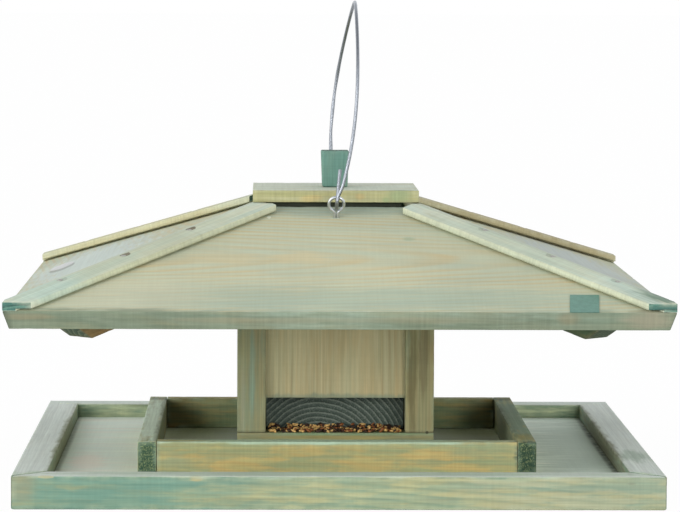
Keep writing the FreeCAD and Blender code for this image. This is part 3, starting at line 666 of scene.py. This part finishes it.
rail_look = wood_look(
    "tray_rail_wood", (134, 154, 130), (92, 124, 106), (88, 134, 124), (172, 158, 106),
    # tops paints light: the faces that look up are paler.
    tops=((216, 222, 216), 0.88), wear=(180, 188, 160), spacing=0.0058, taper=0.06,
    stain_share=0.45, tan_share=0.32, fibre=0.4, saw=0.03, bump=0.12, wander=0.0026, patch=1.9,
    firm=0.06, under=(
        (on_rail(120, 492), (0.16, 0.01, 0.04), (118, 148, 128), 0.8),
        (on_rail(420, 492), (0.22, 0.01, 0.05), (172, 172, 132), 0.95),
        (on_rail(600, 494), (0.16, 0.01, 0.05), (166, 168, 138), 0.95)),
    patches=(
        (on_rail(20, 488), (0.018, 0.01, 0.016), (148, 138, 108), 0.45),
        (on_rail(196, 478), (0.006, 0.01, 0.004), (176, 160, 112), 0.7),
        # Painted light: the tops of the back and front rails are paler still.
        ((0.0, 0.285, rail_top), (0.4, 0.02, 0.006), (214, 224, 214), 0.9),
        ((0.0, -0.284, rail_top), (0.4, 0.02, 0.005), (184, 200, 180), 0.8),
        ((0.284, -0.16, rail_top), (0.02, 0.05, 0.006), (150, 168, 150), 0.7),
        # Painted shade: the inner faces of the side rails are darker.
        ((-0.268, 0.0, 0.02), (0.006, 0.3, 0.03), (132, 136, 108), 0.8),
        ((0.268, 0.0, 0.02), (0.006, 0.3, 0.03), (118, 118, 98), 0.85),
        # Painted light: the inner face of the back rail, under the roof, is made paler.
        ((0, 0.268, 0.02), (0.3, 0.006, 0.03), (222, 228, 184), 0.8)),
    marks_on=(
        (on_rail(46, 477), (0.008, 0.006, 0.0015), (200, 182, 134), 0.5),))
tray_floor_look = wood_look(
    "tray_floor_wood", (228, 239, 226), (214, 224, 212), (212, 226, 222), (236, 226, 212),
    spacing=0.008, taper=0.05, line=0.4, stain_share=0.35, tan_share=0.35, fibre=0.15, saw=0.02,
    bump=0.08, patches=(
        # Painted shade: the strip of floor at the right is darker.
        ((0.26, 0.0, board_thick), (0.09, 0.4, 0.01), (188, 203, 190), 0.9),
        ((-0.24, -0.1, board_thick), (0.02, 0.08, 0.01), (238, 222, 208), 0.5),
        # Painted shade: a greener tint on the floor inside the feed tray, darkened by the shades below.
        ((-0.135, 0.1, board_thick), (0.05, 0.12, 0.01), (226, 234, 196), 0.8),
        ((0.135, 0.1, board_thick), (0.05, 0.12, 0.01), (222, 230, 192), 0.8)),
    # Painted shade: darker floor inside the feed tray, and darker lines at the feet of the side rails.
    shades=(
        ((-0.115, 0.09, board_thick), (0.085, 0.16, 0.02), 0.5),
        ((0.115, 0.09, board_thick), (0.085, 0.16, 0.02), 0.55),
        ((-0.268, 0, board_thick), (0.007, 0.5, 0.02), 0.45),
        ((0.268, 0, board_thick), (0.008, 0.5, 0.02), 0.7)))
feed_look = wood_look(
    "feed_rail_wood", (172, 162, 110), (186, 154, 98), (118, 146, 118), (194, 166, 106),
    ((52, 78, 62), (140, 152, 104)), wear=(168, 188, 162), spacing=0.0056,
    taper=0.09, line=0.8, stain_share=0.65, tan_share=0.5, fibre=0.4, bump=0.2, wander=0.003,
    patch=1.7, firm=0.08, arcs=0.3, flecks=0.95, patches=(
        (on_feed(172, 464), (0.02, 0.01, 0.012), (150, 158, 126), 0.5),
        (on_feed(480, 450), (0.04, 0.01, 0.008), (142, 154, 120), 0.6),
        # Painted highlight: a pale strip along the top of the front feed rail.
        ((0.0, -0.1795, feed_top), (0.19, 0.03, 0.0035), (180, 204, 180), 0.9),
        ((-0.18, 0.0, feed_top), (0.02, 0.25, 0.004), (214, 229, 211), 0.95),
        ((0.18, 0.0, feed_top), (0.02, 0.25, 0.004), (126, 146, 124), 0.95),
        (on_level(521, 437, feed_top), (0.02, 0.03, 0.004), (140, 134, 80), 0.6),
        # Painted shade: the inner faces of the feed tray's back and side rails are darker and greener.
        ((0, 0.17, 0.03), (0.2, 0.012, 0.03), (122, 140, 108), 0.9),
        ((-0.1705, 0, 0.034), (0.005, 0.26, 0.03), (118, 126, 98), 0.8),
        ((0.1705, 0, 0.034), (0.005, 0.26, 0.03), (112, 122, 100), 0.9),
        (on_feed(529, 457), (0.014, 0.01, 0.03), (36, 60, 46), 0.85)),
    # Painted shade: the back rail's inner face darker at both corners, and the right end grain darker.
    shades=(
        ((-0.172, 0.168, 0.022), (0.055, 0.02, 0.045), 0.6),
        ((0.172, 0.168, 0.022), (0.055, 0.02, 0.045), 0.6),
        (on_feed(529, 460), (0.014, 0.01, 0.03), 0.3)))
bar_look = wood_look(
    "silo_bar_wood", (152, 148, 110), (124, 126, 96), (116, 148, 130), (166, 142, 98),
    wear=(168, 172, 136), spacing=0.004, taper=0.03, stain_share=0.6, tan_share=0.5, fibre=0.6,
    saw=0.02, patches=(
        (on_post(252, 380), (0.004, 0.01, 0.06), (122, 150, 134), 0.6),
        (on_post(243, 400), (0.003, 0.01, 0.05), (150, 152, 130), 0.5),
        (on_post(412, 380), (0.006, 0.01, 0.08), (110, 104, 72), 0.7),
        (on_post(424, 360), (0.005, 0.01, 0.05), (122, 112, 82), 0.6),
        (on_post(336, 434), (0.12, 0.01, 0.002), (130, 156, 120), 0.8),
        (on_post(336, 437.5), (0.12, 0.01, 0.002), (172, 158, 98), 0.7)),
    marks_on=(
        (on_post(427, 432.5), (0.0016, 0.01, 0.0016), (52, 44, 34), 0.9),))
wall_look = wood_look(
    "silo_wall_wood", (192, 184, 145), (168, 148, 108), (160, 166, 134), (190, 162, 114),
    side=(160, 152, 118), spacing=0.0032, taper=0.008, line=0.8, stain_share=0.3, tan_share=0.45,
    saw=0.015, bump=0.12, patches=(
        (on_wall(335, 398), (0.12, 0.01, 0.005), (130, 146, 126), 0.75),))
divider_look = wood_look(
    "divider_wood", (96, 108, 98), (66, 78, 74), (70, 92, 88), (130, 120, 92),
    ((68, 81, 73), (142, 152, 138)), spacing=0.0046, taper=0.0, wander=0.0009)
rafter_look = wood_look(
    "rafter_wood", (128, 112, 78), (104, 92, 66), (84, 112, 104), (156, 118, 70),
    ((66, 84, 66), (124, 134, 106)), stain_share=0.6, tan_share=0.5,
    patches=(((0.25, -0.25, 0.16), (0.08, 0.08, 0.06), (84, 104, 78), 0.95),),
    # Painted shade on the right rafter's end.
    shades=(((0.25, -0.25, 0.16), (0.09, 0.09, 0.07), 0.2),))
# Dark spots round the nails: partly a stain, partly painted shade in the dents, darker the deeper the
# nail is driven.
nail_stain_and_shade = []
for hand, corner_name in ((-1, "front_left"), (1, "front_right")):
    for along, depth in zip(nail_alongs, nail_depths[corner_name]):
        darkness = 0.1 + 0.7 * depth / deepest_nail
        nail_stain_and_shade.append((on_fold(hand, along - 0.002), (0.006, 0.006, 0.004), (84, 70, 54), darkness))
batten_look = wood_look(
    "batten_wood", (190, 200, 184), (172, 184, 166), (160, 188, 178), (202, 194, 164),
    ((66, 104, 94), (98, 136, 120)), side=(192, 194, 164), wear=(206, 206, 180), spacing=0.006,
    taper=0.05, line=0.5, stain_share=0.45, tan_share=0.35, fibre=0.35, saw=0.04, bump=0.2,
    patch=1.4, firm=0.08, patches=(
        ((-0.19, -0.19, 0.22), (0.21, 0.21, 0.12), (174, 176, 144), 0.45),
        ((-0.27, -0.27, 0.20), (0.05, 0.05, 0.03), (164, 194, 186), 0.4),
        ((-0.2, 0.2, 0.22), (0.26, 0.26, 0.12), (196, 188, 144), 0.7),
        ((0.2, -0.2, 0.24), (0.2, 0.2, 0.04), (184, 192, 168), 0.55),
        ((0.3, -0.28, 0.19), (0.04, 0.03, 0.03), (64, 100, 82), 0.7),
        ((0.19, 0.19, 0.22), (0.28, 0.28, 0.14), (168, 154, 114), 0.85)),
    marks_on=nail_stain_and_shade)
lid_look = wood_look(
    "lid_wood", (196, 202, 186), (186, 190, 168), (170, 188, 166), (200, 184, 134),
    side=(160, 155, 103), wear=(176, 176, 136), taper=0.03, tan_share=0.35, patches=(
        (on_lid(360, 197), (0.006, 0.02, 0.004), (190, 162, 110), 0.45),
        (on_lid(386, 200), (0.005, 0.02, 0.004), (140, 156, 112), 0.7),
        (on_lid(310, 199), (0.012, 0.02, 0.004), (190, 168, 112), 0.6),
        (on_lid(398, 196), (0.016, 0.02, 0.01), (138, 154, 116), 0.7),
        (on_lid(280, 194), (0.03, 0.01, 0.004), (146, 148, 104), 0.5)))
# The plug is coloured nearly black: painted shade, for the dark inside of the silo under the lid.
plug_painted_shade_look = wood_look(
    "plug_wood", (48, 52, 40), (38, 42, 34), (40, 54, 46), (60, 54, 38), side=(46, 50, 38))
knob_look = wood_look(
    "knob_wood", (102, 136, 124), (82, 116, 104), (82, 124, 112), (136, 142, 116),
    side=(102, 136, 124), wear=(136, 160, 142), stain_share=0.6, tan_share=0.25)


# Tray
rail_steps = {"front": 0.0006, "right": 0.0, "back": 0.0003, "left": 0.0}


def tray_rail(turns, side):
    """A square bar along one side, mitred at both ends. The front and back ones are planed a
    little lower, so the mitres show as thin lines."""
    outer, inner = -rail_low[1], -rail_high[1]
    corners = [[[(hand * reach, -reach, height) for height in (0, rail - rail_steps[side])]
                for reach in (outer, inner)] for hand in (-1, 1)]
    corners = quarter_turn(corners, turns)
    axes = quarter_turn(np.eye(3), turns)
    origin = quarter_turn([0, -outer + 0.02, -0.022], turns)
    slab("tray_rail_" + side, (2 * outer, rail, rail), stretched(corners), rail_look,
         "tray_rail_wood", (origin, axes), 1 + turns, radii=(0.0012, 0.0020, 0.0020),
         step=0.005, rough=0.00006, bites=0.0004, wear_reach=0.005)


for turns, side in enumerate(SIDES):
    tray_rail(turns, side)
box_board("tray_floor", 0, tray_floor_look, "tray_floor_wood", 5, pith=(0.1, -0.05), step=0.012)
for seed, (side, grain_axis) in enumerate(BAR_AXES.items(), start=6):
    box_board("feed_rail_" + side, grain_axis, feed_look, "feed_rail_wood", seed,
              pith=(0.004, -0.02), step=0.004)

# Silo
for seed, (side, grain_axis) in enumerate(BAR_AXES.items(), start=10):
    box_board("silo_sill_" + side, grain_axis, bar_look, "silo_bar_wood", seed,
              pith=(0.02, 0.006), step=0.004)
    box_board("silo_wall_" + side, 2, wall_look, "silo_wall_wood", seed + 4,
              pith=(0.02, 0.05), step=0.005, reach=np.eye(3)[grain_axis] * 0.001)


def silo_post(turns, corner_name, seed):
    """A square post whose top is sawn to the slope of the hip rafter on it."""
    node = "silo_post_" + corner_name
    low, high = box_of(node)
    outer = np.abs(np.stack([low[:2], high[:2]])).max()
    inner = np.abs(np.stack([low[:2], high[:2]])).min()
    reach_x, reach_y = (sorted((sign * inner, sign * outer)) for sign in np.sign((low + high)[:2]))
    corners = np.empty((2, 2, 2, 3))
    for end, i, j in np.ndindex(2, 2, 2):
        across, deep = reach_x[i], reach_y[j]
        along = (abs(across) + abs(deep)) / DIAGONAL
        drop = hip_slope * (along - 2 * inner / DIAGONAL)
        corners[end, i, j] = (across, deep, high[2] - drop if end else low[2])
    size = (high[2] - low[2], outer - inner, outer - inner)
    slab(node, size, stretched(corners), bar_look, "silo_bar_wood",
         box_grain(low, high, 2, (0.016, 0.02)), seed, radii=(0.0002, 0.0009, 0.0009), step=0.004)


for turns, corner_name in enumerate(CORNERS):
    silo_post(turns, corner_name, 20 + turns)


gable_rise = 0.030


def divider():
    """The block in the silo: end grain to the front, its top a gable along X."""
    low, high = box_of("seed_divider")
    order = GRAIN_ORDER[1]

    def place(units):
        points = low + units[:, order] * (high - low)
        top = high[2] - gable_rise * np.abs(2 * units[:, 0] - 1)
        points[:, 2] = low[2] + units[:, 2] * (top - low[2])
        return points

    size = (high - low)[order]
    slab("seed_divider", size, place, divider_look, "divider_wood",
         ((-0.015, 0, 0.012), np.eye(3)[order]), 30, extra=((size[0] / 2,), (), ()), step=0.005)


divider()


# Roof
def roof_panel(turns, side):
    """A board with square-cut long edges, mitred on both hips."""
    corners = [[[(hand * (reach - back), back - reach, height - down)
                 for back, down in ((thick_out, thick_down), (0, 0))]
                for reach, height in ((roof_half, eave_top), (opening_half, panel_high[2]))]
               for hand in (-1, 1)]
    axes = quarter_turn([(1, 0, 0), up_slope, off_slope], turns)
    flame = np.array(on_panel(322, 259)) - off_slope * flame_depth
    origin = quarter_turn(flame + np.array((0.013, 0.021, 0.007)) * turns, turns)
    size = (0.46, (roof_half - opening_half) * slope_length, board_thick)
    slab("roof_panel_" + side, size, stretched(quarter_turn(corners, turns)), roof_look,
         "roof_wood", (origin, axes), 31 + turns, radii=(0.0004, 0.0011, 0.0011))


for turns, side in enumerate(SIDES):
    roof_panel(turns, side)


def diagonal_frame(turns):
    """Directions along the hip in plan, across it, and up."""
    half = math.sqrt(0.5)
    axes = np.array([(half, -half, 0), (half, half, 0), (0, 0, 1)])
    return quarter_turn(axes, turns)


def hip_grain(turns, along, deep, aside):
    """Grain frame of a board on the hip: down the hip, across it and square off it. along is a
    level distance from the middle. The pith lies deep under the hip's top line there, and aside."""
    along_way, across_way, up_way = diagonal_frame(turns)
    tilt = np.array([along_way - hip_slope * up_way, across_way, up_way + hip_slope * along_way])
    tilt = tilt / np.linalg.norm(tilt, axis=1)[:, None]
    return along_way * along + up_way * hip_top(along) - tilt[2] * deep + tilt[1] * aside, tilt


rafter_wide = 0.032
rafter_deep = 0.0296
rafter_inset = 0.068
rafter_head = 0.00325
seat_gap = 0.00005


def hip_rafter(turns, corner_name):
    """A bar under the hip, its lower end cut at 45 degrees."""
    drop = thick_down * slope_length ** 2 + slope * rafter_wide / 2 / DIAGONAL + seat_gap
    inner = opening_half * DIAGONAL - rafter_head
    outer = (roof_half - rafter_inset) * DIAGONAL
    tip = outer + rafter_deep * (1 + hip_slope) / hip_length
    along_way, across_way, up_way = diagonal_frame(turns)
    corners = [[[along_way * along + across_way * hand * rafter_wide / 2
                 + up_way * (hip_top(along) - drop - down)
                 for along, down in ((bottom, rafter_deep * hip_length), (top, 0))]
                for hand in (-1, 1)] for bottom, top in ((inner, inner), (outer, tip))]
    slab("hip_rafter_" + corner_name, (outer - inner, rafter_wide, rafter_deep),
         stretched(corners), rafter_look, "rafter_wood", hip_grain(turns, 0.2, 0.06, 0.02),
         40 + turns, step=0.005)


def hip_batten(turns, corner_name):
    """A strip folded over the hip: pointed flush with both eaves, trimmed level at its top end.
    Its long edges stand clear of the panels, so a dark line runs along their feet."""
    node = "hip_batten_" + corner_name
    low, high = box_of(node)
    tip = roof_half * DIAGONAL
    inner = np.abs(np.stack([low[:2], high[:2]])).min() * DIAGONAL + batten_wide / 2
    inner += short_cut if corner_name == "front_right" else 0
    trim_end = DIAGONAL * (roof_half - (high[2] - batten_rise - eave_top) / slope)
    trim_share = (trim_end - inner) / (tip - inner)
    along_way, across_way, up_way = diagonal_frame(turns)

    def place(units):
        undercut = np.where(units[:, 2] < foot_gap / batten_thick, foot_depth, 0.0)
        across = (units[:, 1] - 0.5) * (batten_wide - 2 * undercut)
        side = np.abs(across)
        bend = np.maximum(trim_end - side, inner + 0.0005)
        trimmed = inner + units[:, 0] / trim_share * (bend - inner)
        beyond = (units[:, 0] - trim_share) / (1 - trim_share)
        sloped = bend + beyond * (tip - side - bend)
        along = np.where(units[:, 0] < trim_share, trimmed, sloped)
        foot = eave_top + slope * (roof_half - (along + side) / DIAGONAL)
        top = np.minimum(foot + batten_rise, high[2])
        height = foot + units[:, 2] * (top - foot)
        return (along[:, None] * along_way + across[:, None] * across_way
                + height[:, None] * up_way)

    def dents(points, normals):
        """The wood is pressed in around each nail."""
        sunk = np.zeros(len(points))
        for along, depth in zip(nail_alongs, nail_depths[corner_name]):
            centre = along_way * along + up_way * (hip_top(along) + batten_rise)
            apart = np.linalg.norm(points - centre, axis=1)
            sunk += (depth + 0.0004) * np.exp(-(apart / 0.0036) ** 4)
        return sunk * (normals[:, 2] > 0.3)

    around = (-0.005, -0.0035, -0.0024, -0.0012, 0, 0.0012, 0.0024, 0.0035, 0.005)
    length = tip - inner
    along_marks = [trim_share * length]
    for nail in nail_alongs:
        along_marks += [(nail - inner) + offset for offset in around]
    across_marks = [batten_wide / 2 + offset for offset in around]
    foot_marks = (foot_gap - 0.00002, foot_gap + 0.00002)
    slab(node, (length, batten_wide, batten_thick), place, batten_look, "batten_wood",
         hip_grain(turns, 0.27, 0.03, 0.004), 50 + turns,
         extra=(along_marks, across_marks, foot_marks), step=0.004, dents=dents)


for turns, corner_name in enumerate(CORNERS):
    hip_rafter(turns, corner_name)
    hip_batten(turns, corner_name)

# Lid
box_board("lid_board", 0, lid_look, "lid_wood", 60, pith=(0.01, -0.03), body="lid", step=0.004)
box_board("lid_plug", 0, plug_painted_shade_look, "plug_wood", 61, body="lid")

knob_taper = 0.0014


def lid_knob():
    """A square block, a little narrower at its foot."""
    low, high = box_of("lid_knob")
    corners = [[[(x, y, height) for y in (low[1] + inset, high[1] - inset)]
                for x in (low[0] + inset, high[0] - inset)]
               for height, inset in ((low[2], knob_taper), (high[2], 0.0))]
    slab("lid_knob", (high - low)[GRAIN_ORDER[2]], stretched(corners), knob_look, "knob_wood",
         box_grain(low, high, 2, (0.012, 0.03)), 62, body="lid", radii=(0.0015, 0.0018, 0.0018),
         step=0.003)


lid_knob()


# Metal, plate and seed
plate_thick = 0.0006
plate_foot_shift = -0.0013
plate_head_shift = 0.0018


def plain_look(name, colour, rough, metal=False):
    """Steel with faint spangle and uneven gloss, or a coated surface with faint mottling."""
    material = bpy.data.materials.new(name)
    g = fresh_graph(material)
    place = g.node("ShaderNodeTexCoord").outputs["Object"]
    fine_scale, slow_scale = (400.0, 60.0) if metal else (700.0, 180.0)
    fine = g.noise(place, (fine_scale,) * 3)
    slow = g.noise(place, (slow_scale,) * 3, 3.0)
    mottle, gloss = (fine, slow) if metal else (slow, fine)
    darkest, sharpest, dullest = (0.88, 0.75, 1.3) if metal else (0.86, 0.8, 1.25)
    strength, depth = (0.08, 0.00005) if metal else (0.2, 0.0001)
    light = linear(colour)
    dark = tuple(channel * darkest for channel in light)
    g.surface(g.mix(g.range(mottle, 0.35, 0.65), dark, light),
              g.range(gloss, 0.3, 0.7, rough * sharpest, rough * dullest),
              fine, strength, depth, Metallic=float(metal))
    return material


wire_look = plain_look("galvanised_wire", (146, 150, 156), 0.34, True)
eye_look = plain_look("galvanised_eye", (206, 210, 214), 0.3, True)
steel_look = plain_look("fastener_steel", (190, 190, 186), 0.34, True)
nail_look = plain_look("nail_steel", (182, 180, 172), 0.5, True)
plate_look = plain_look("plate_green", (92, 136, 120), 0.4)

# CAD nodes that stay get their finish
for look, names in (
        (eye_look, ("eye_front", "eye_back")),
        (wire_look, ("wire_handle",)),
        (steel_look, ("floor_screws", "post_screws", "frame_screws", "rafter_screws", "knob_screw"))):
    for name in names:
        for material_slot in nodes[name].material_slots:
            material_slot.material = look


def label_plate():
    """A bare thin plate on the front panel, its sides leaning a little inwards up the slope."""
    low, high = box_of("label_plate")
    head = (high[1] + roof_half) * slope_length
    corners = [[[np.array((x + shift, -roof_half, eave_top)) + up_slope * climb + off_slope * rise
                 for rise in (0, plate_thick)]
                for climb, shift in ((0, plate_foot_shift), (head, plate_head_shift))]
               for x in (low[0], high[0])]
    size = (high[0] - low[0], high[1] + roof_half, plate_thick)
    slab("label_plate", size, stretched(corners), plate_look, "plate_green",
         (low, np.eye(3)), 80, radii=(0.0003, 0.0003, 0.0001), rough=0.00002, bites=0)


label_plate()


def plain_mesh(name, points, faces, look, body, node):
    """One piece from points and faces."""
    mesh = bpy.data.meshes.new(name)
    mesh.from_pydata([tuple(point) for point in points], [], faces)
    add_piece(name, mesh, look, body, node)


def heap_up(points, faces, more_points, more_faces):
    """Append the points and faces of one small mesh to those of a heap."""
    base = len(points)
    points += list(more_points)
    faces += [tuple(base + n for n in face) for face in more_faces]


def lathe(profile, sides):
    """Points and faces of a profile of (radius, height) turned about Z, closed at both ends."""
    points = []
    for radius, height in profile:
        for side in range(sides):
            angle = 2 * math.pi * side / sides
            points.append((radius * math.cos(angle), radius * math.sin(angle), height))
    faces = []
    for ring in range(len(profile) - 1):
        for side in range(sides):
            after = (side + 1) % sides
            faces.append((ring * sides + side, ring * sides + after,
                          (ring + 1) * sides + after, (ring + 1) * sides + side))
    faces.append(tuple(range(sides))[::-1])
    faces.append(tuple((len(profile) - 1) * sides + side for side in range(sides)))
    return np.array(points), faces


def nails():
    """Round wire nails with a struck, dimpled head, driven in along the folds of the battens."""
    shank = 0.0012
    profile = [(0.0002, -0.033), (shank, -0.030), (shank, -0.0012), (nail_head, -0.0010),
               (nail_head, -0.0003), (nail_head * 0.85, 0.0), (nail_head * 0.5, -0.00005),
               (nail_head * 0.25, -0.0003), (nail_head * 0.05, -0.0004)]
    one, one_faces = lathe(profile, 20)
    points = []
    faces = []
    for turns, corner_name in enumerate(CORNERS):
        along_way, across_way, up_way = diagonal_frame(turns)
        out_way = (up_way + hip_slope * along_way) / hip_length
        down_way = np.cross(across_way, out_way)
        for along, depth in zip(nail_alongs, nail_depths[corner_name]):
            foot = along_way * along + up_way * (hip_top(along) + batten_rise)
            foot = foot - out_way * (depth + 0.0002)
            placed = one[:, :1] * across_way + one[:, 1:2] * down_way + one[:, 2:] * out_way
            heap_up(points, faces, foot + placed, one_faces)
    plain_mesh("nails", points, faces, nail_look, "stand", "batten_nails")


nails()


def kernel(rng, centre, lying):
    """One seed: a small plump spindle, a little flattened, turned at random."""
    rings, sides = 5, 7
    length = rng.uniform(0.0056, 0.0086)
    wide = rng.uniform(0.0023, 0.0036)
    flat = rng.uniform(0.6, 0.9)
    spin = rng.uniform(0, math.pi)
    tip_up = rng.uniform(-0.45, 0.45) * (1 if lying else 2)
    way = Vector((math.cos(spin) * math.cos(tip_up), math.sin(spin) * math.cos(tip_up), math.sin(tip_up)))
    side_way = way.orthogonal().normalized()
    third = way.cross(side_way)
    points = [centre - way * length / 2]
    for ring in range(1, rings + 1):
        share = ring / (rings + 1)
        girth = math.sin(math.pi * share ** 0.85) ** 0.7 * wide / 2
        for side in range(sides):
            angle = 2 * math.pi * side / sides
            points.append(centre + way * (share - 0.5) * length
                          + side_way * math.cos(angle) * girth + third * math.sin(angle) * girth * flat)
    points.append(centre + way * length / 2)
    last = len(points) - 1
    faces = []
    for side in range(sides):
        after = (side + 1) % sides
        faces.append((0, 1 + after, 1 + side))
        faces.append((last, 1 + (rings - 1) * sides + side, 1 + (rings - 1) * sides + after))
        for ring in range(rings - 1):
            a = 1 + ring * sides
            faces.append((a + side, a + after, a + sides + after, a + sides + side))
    return points, faces


kernel_count = 330


def seed_bed(side, hand):
    """The seed between the block and a sill: a lumpy bed with loose kernels lying on it."""
    node = "seed_fill_" + side
    low, high = box_of(node)
    rng = random.Random(70 + hand)
    sill_top = box_of("silo_sill_" + side)[1][2]
    block_side = abs(high[1] if hand < 0 else low[1])

    def surface(x, y):
        """Height of the bed: level with the sill, a little higher against the block."""
        share = (abs(y) - block_side) / (high[1] - low[1])
        lump = noise.noise(Vector((x * 90, y * 90, 3.0))) * 0.0008
        return sill_top - 0.001 + 0.002 * max(0.0, 1 - share) + lump

    def place(units):
        points = low + units * (high - low)
        tops = np.array([surface(x, y) for x, y in points[:, :2]])
        points[:, 2] = low[2] + units[:, 2] * (tops - low[2])
        return points

    size = high - low
    axes = np.eye(3)
    slab(node, size, place, seed_looks[2], "seed", (low, axes), 72 + hand, step=0.003)
    heaps = [(look, [], []) for look in seed_looks]
    for index in range(kernel_count):
        x = rng.uniform(low[0] + 0.004, high[0] - 0.004)
        y = hand * rng.uniform(block_side + 0.0035, block_side + 0.034)
        layer = rng.choice((0.0014, 0.0018, 0.0026, 0.0034)) + 0.001
        if abs(y) > block_side + 0.012:
            layer = 0.0024
        heap = rng.choices(heaps, (3, 4, 6))[0]
        heap_up(*heap[1:], *kernel(rng, Vector((x, y, surface(x, y) + layer)), index % 3))
    for look, points, faces in heaps:
        plain_mesh("kernels_%s_%s" % (look.name, side), points, faces, look, "stand", node)


seed_looks = [plain_look("seed_brown", (152, 92, 48), 0.5),
              plain_look("seed_tan", (234, 190, 118), 0.5),
              plain_look("seed_dark", (62, 38, 24), 0.55)]
seed_bed("front", -1)
seed_bed("back", 1)
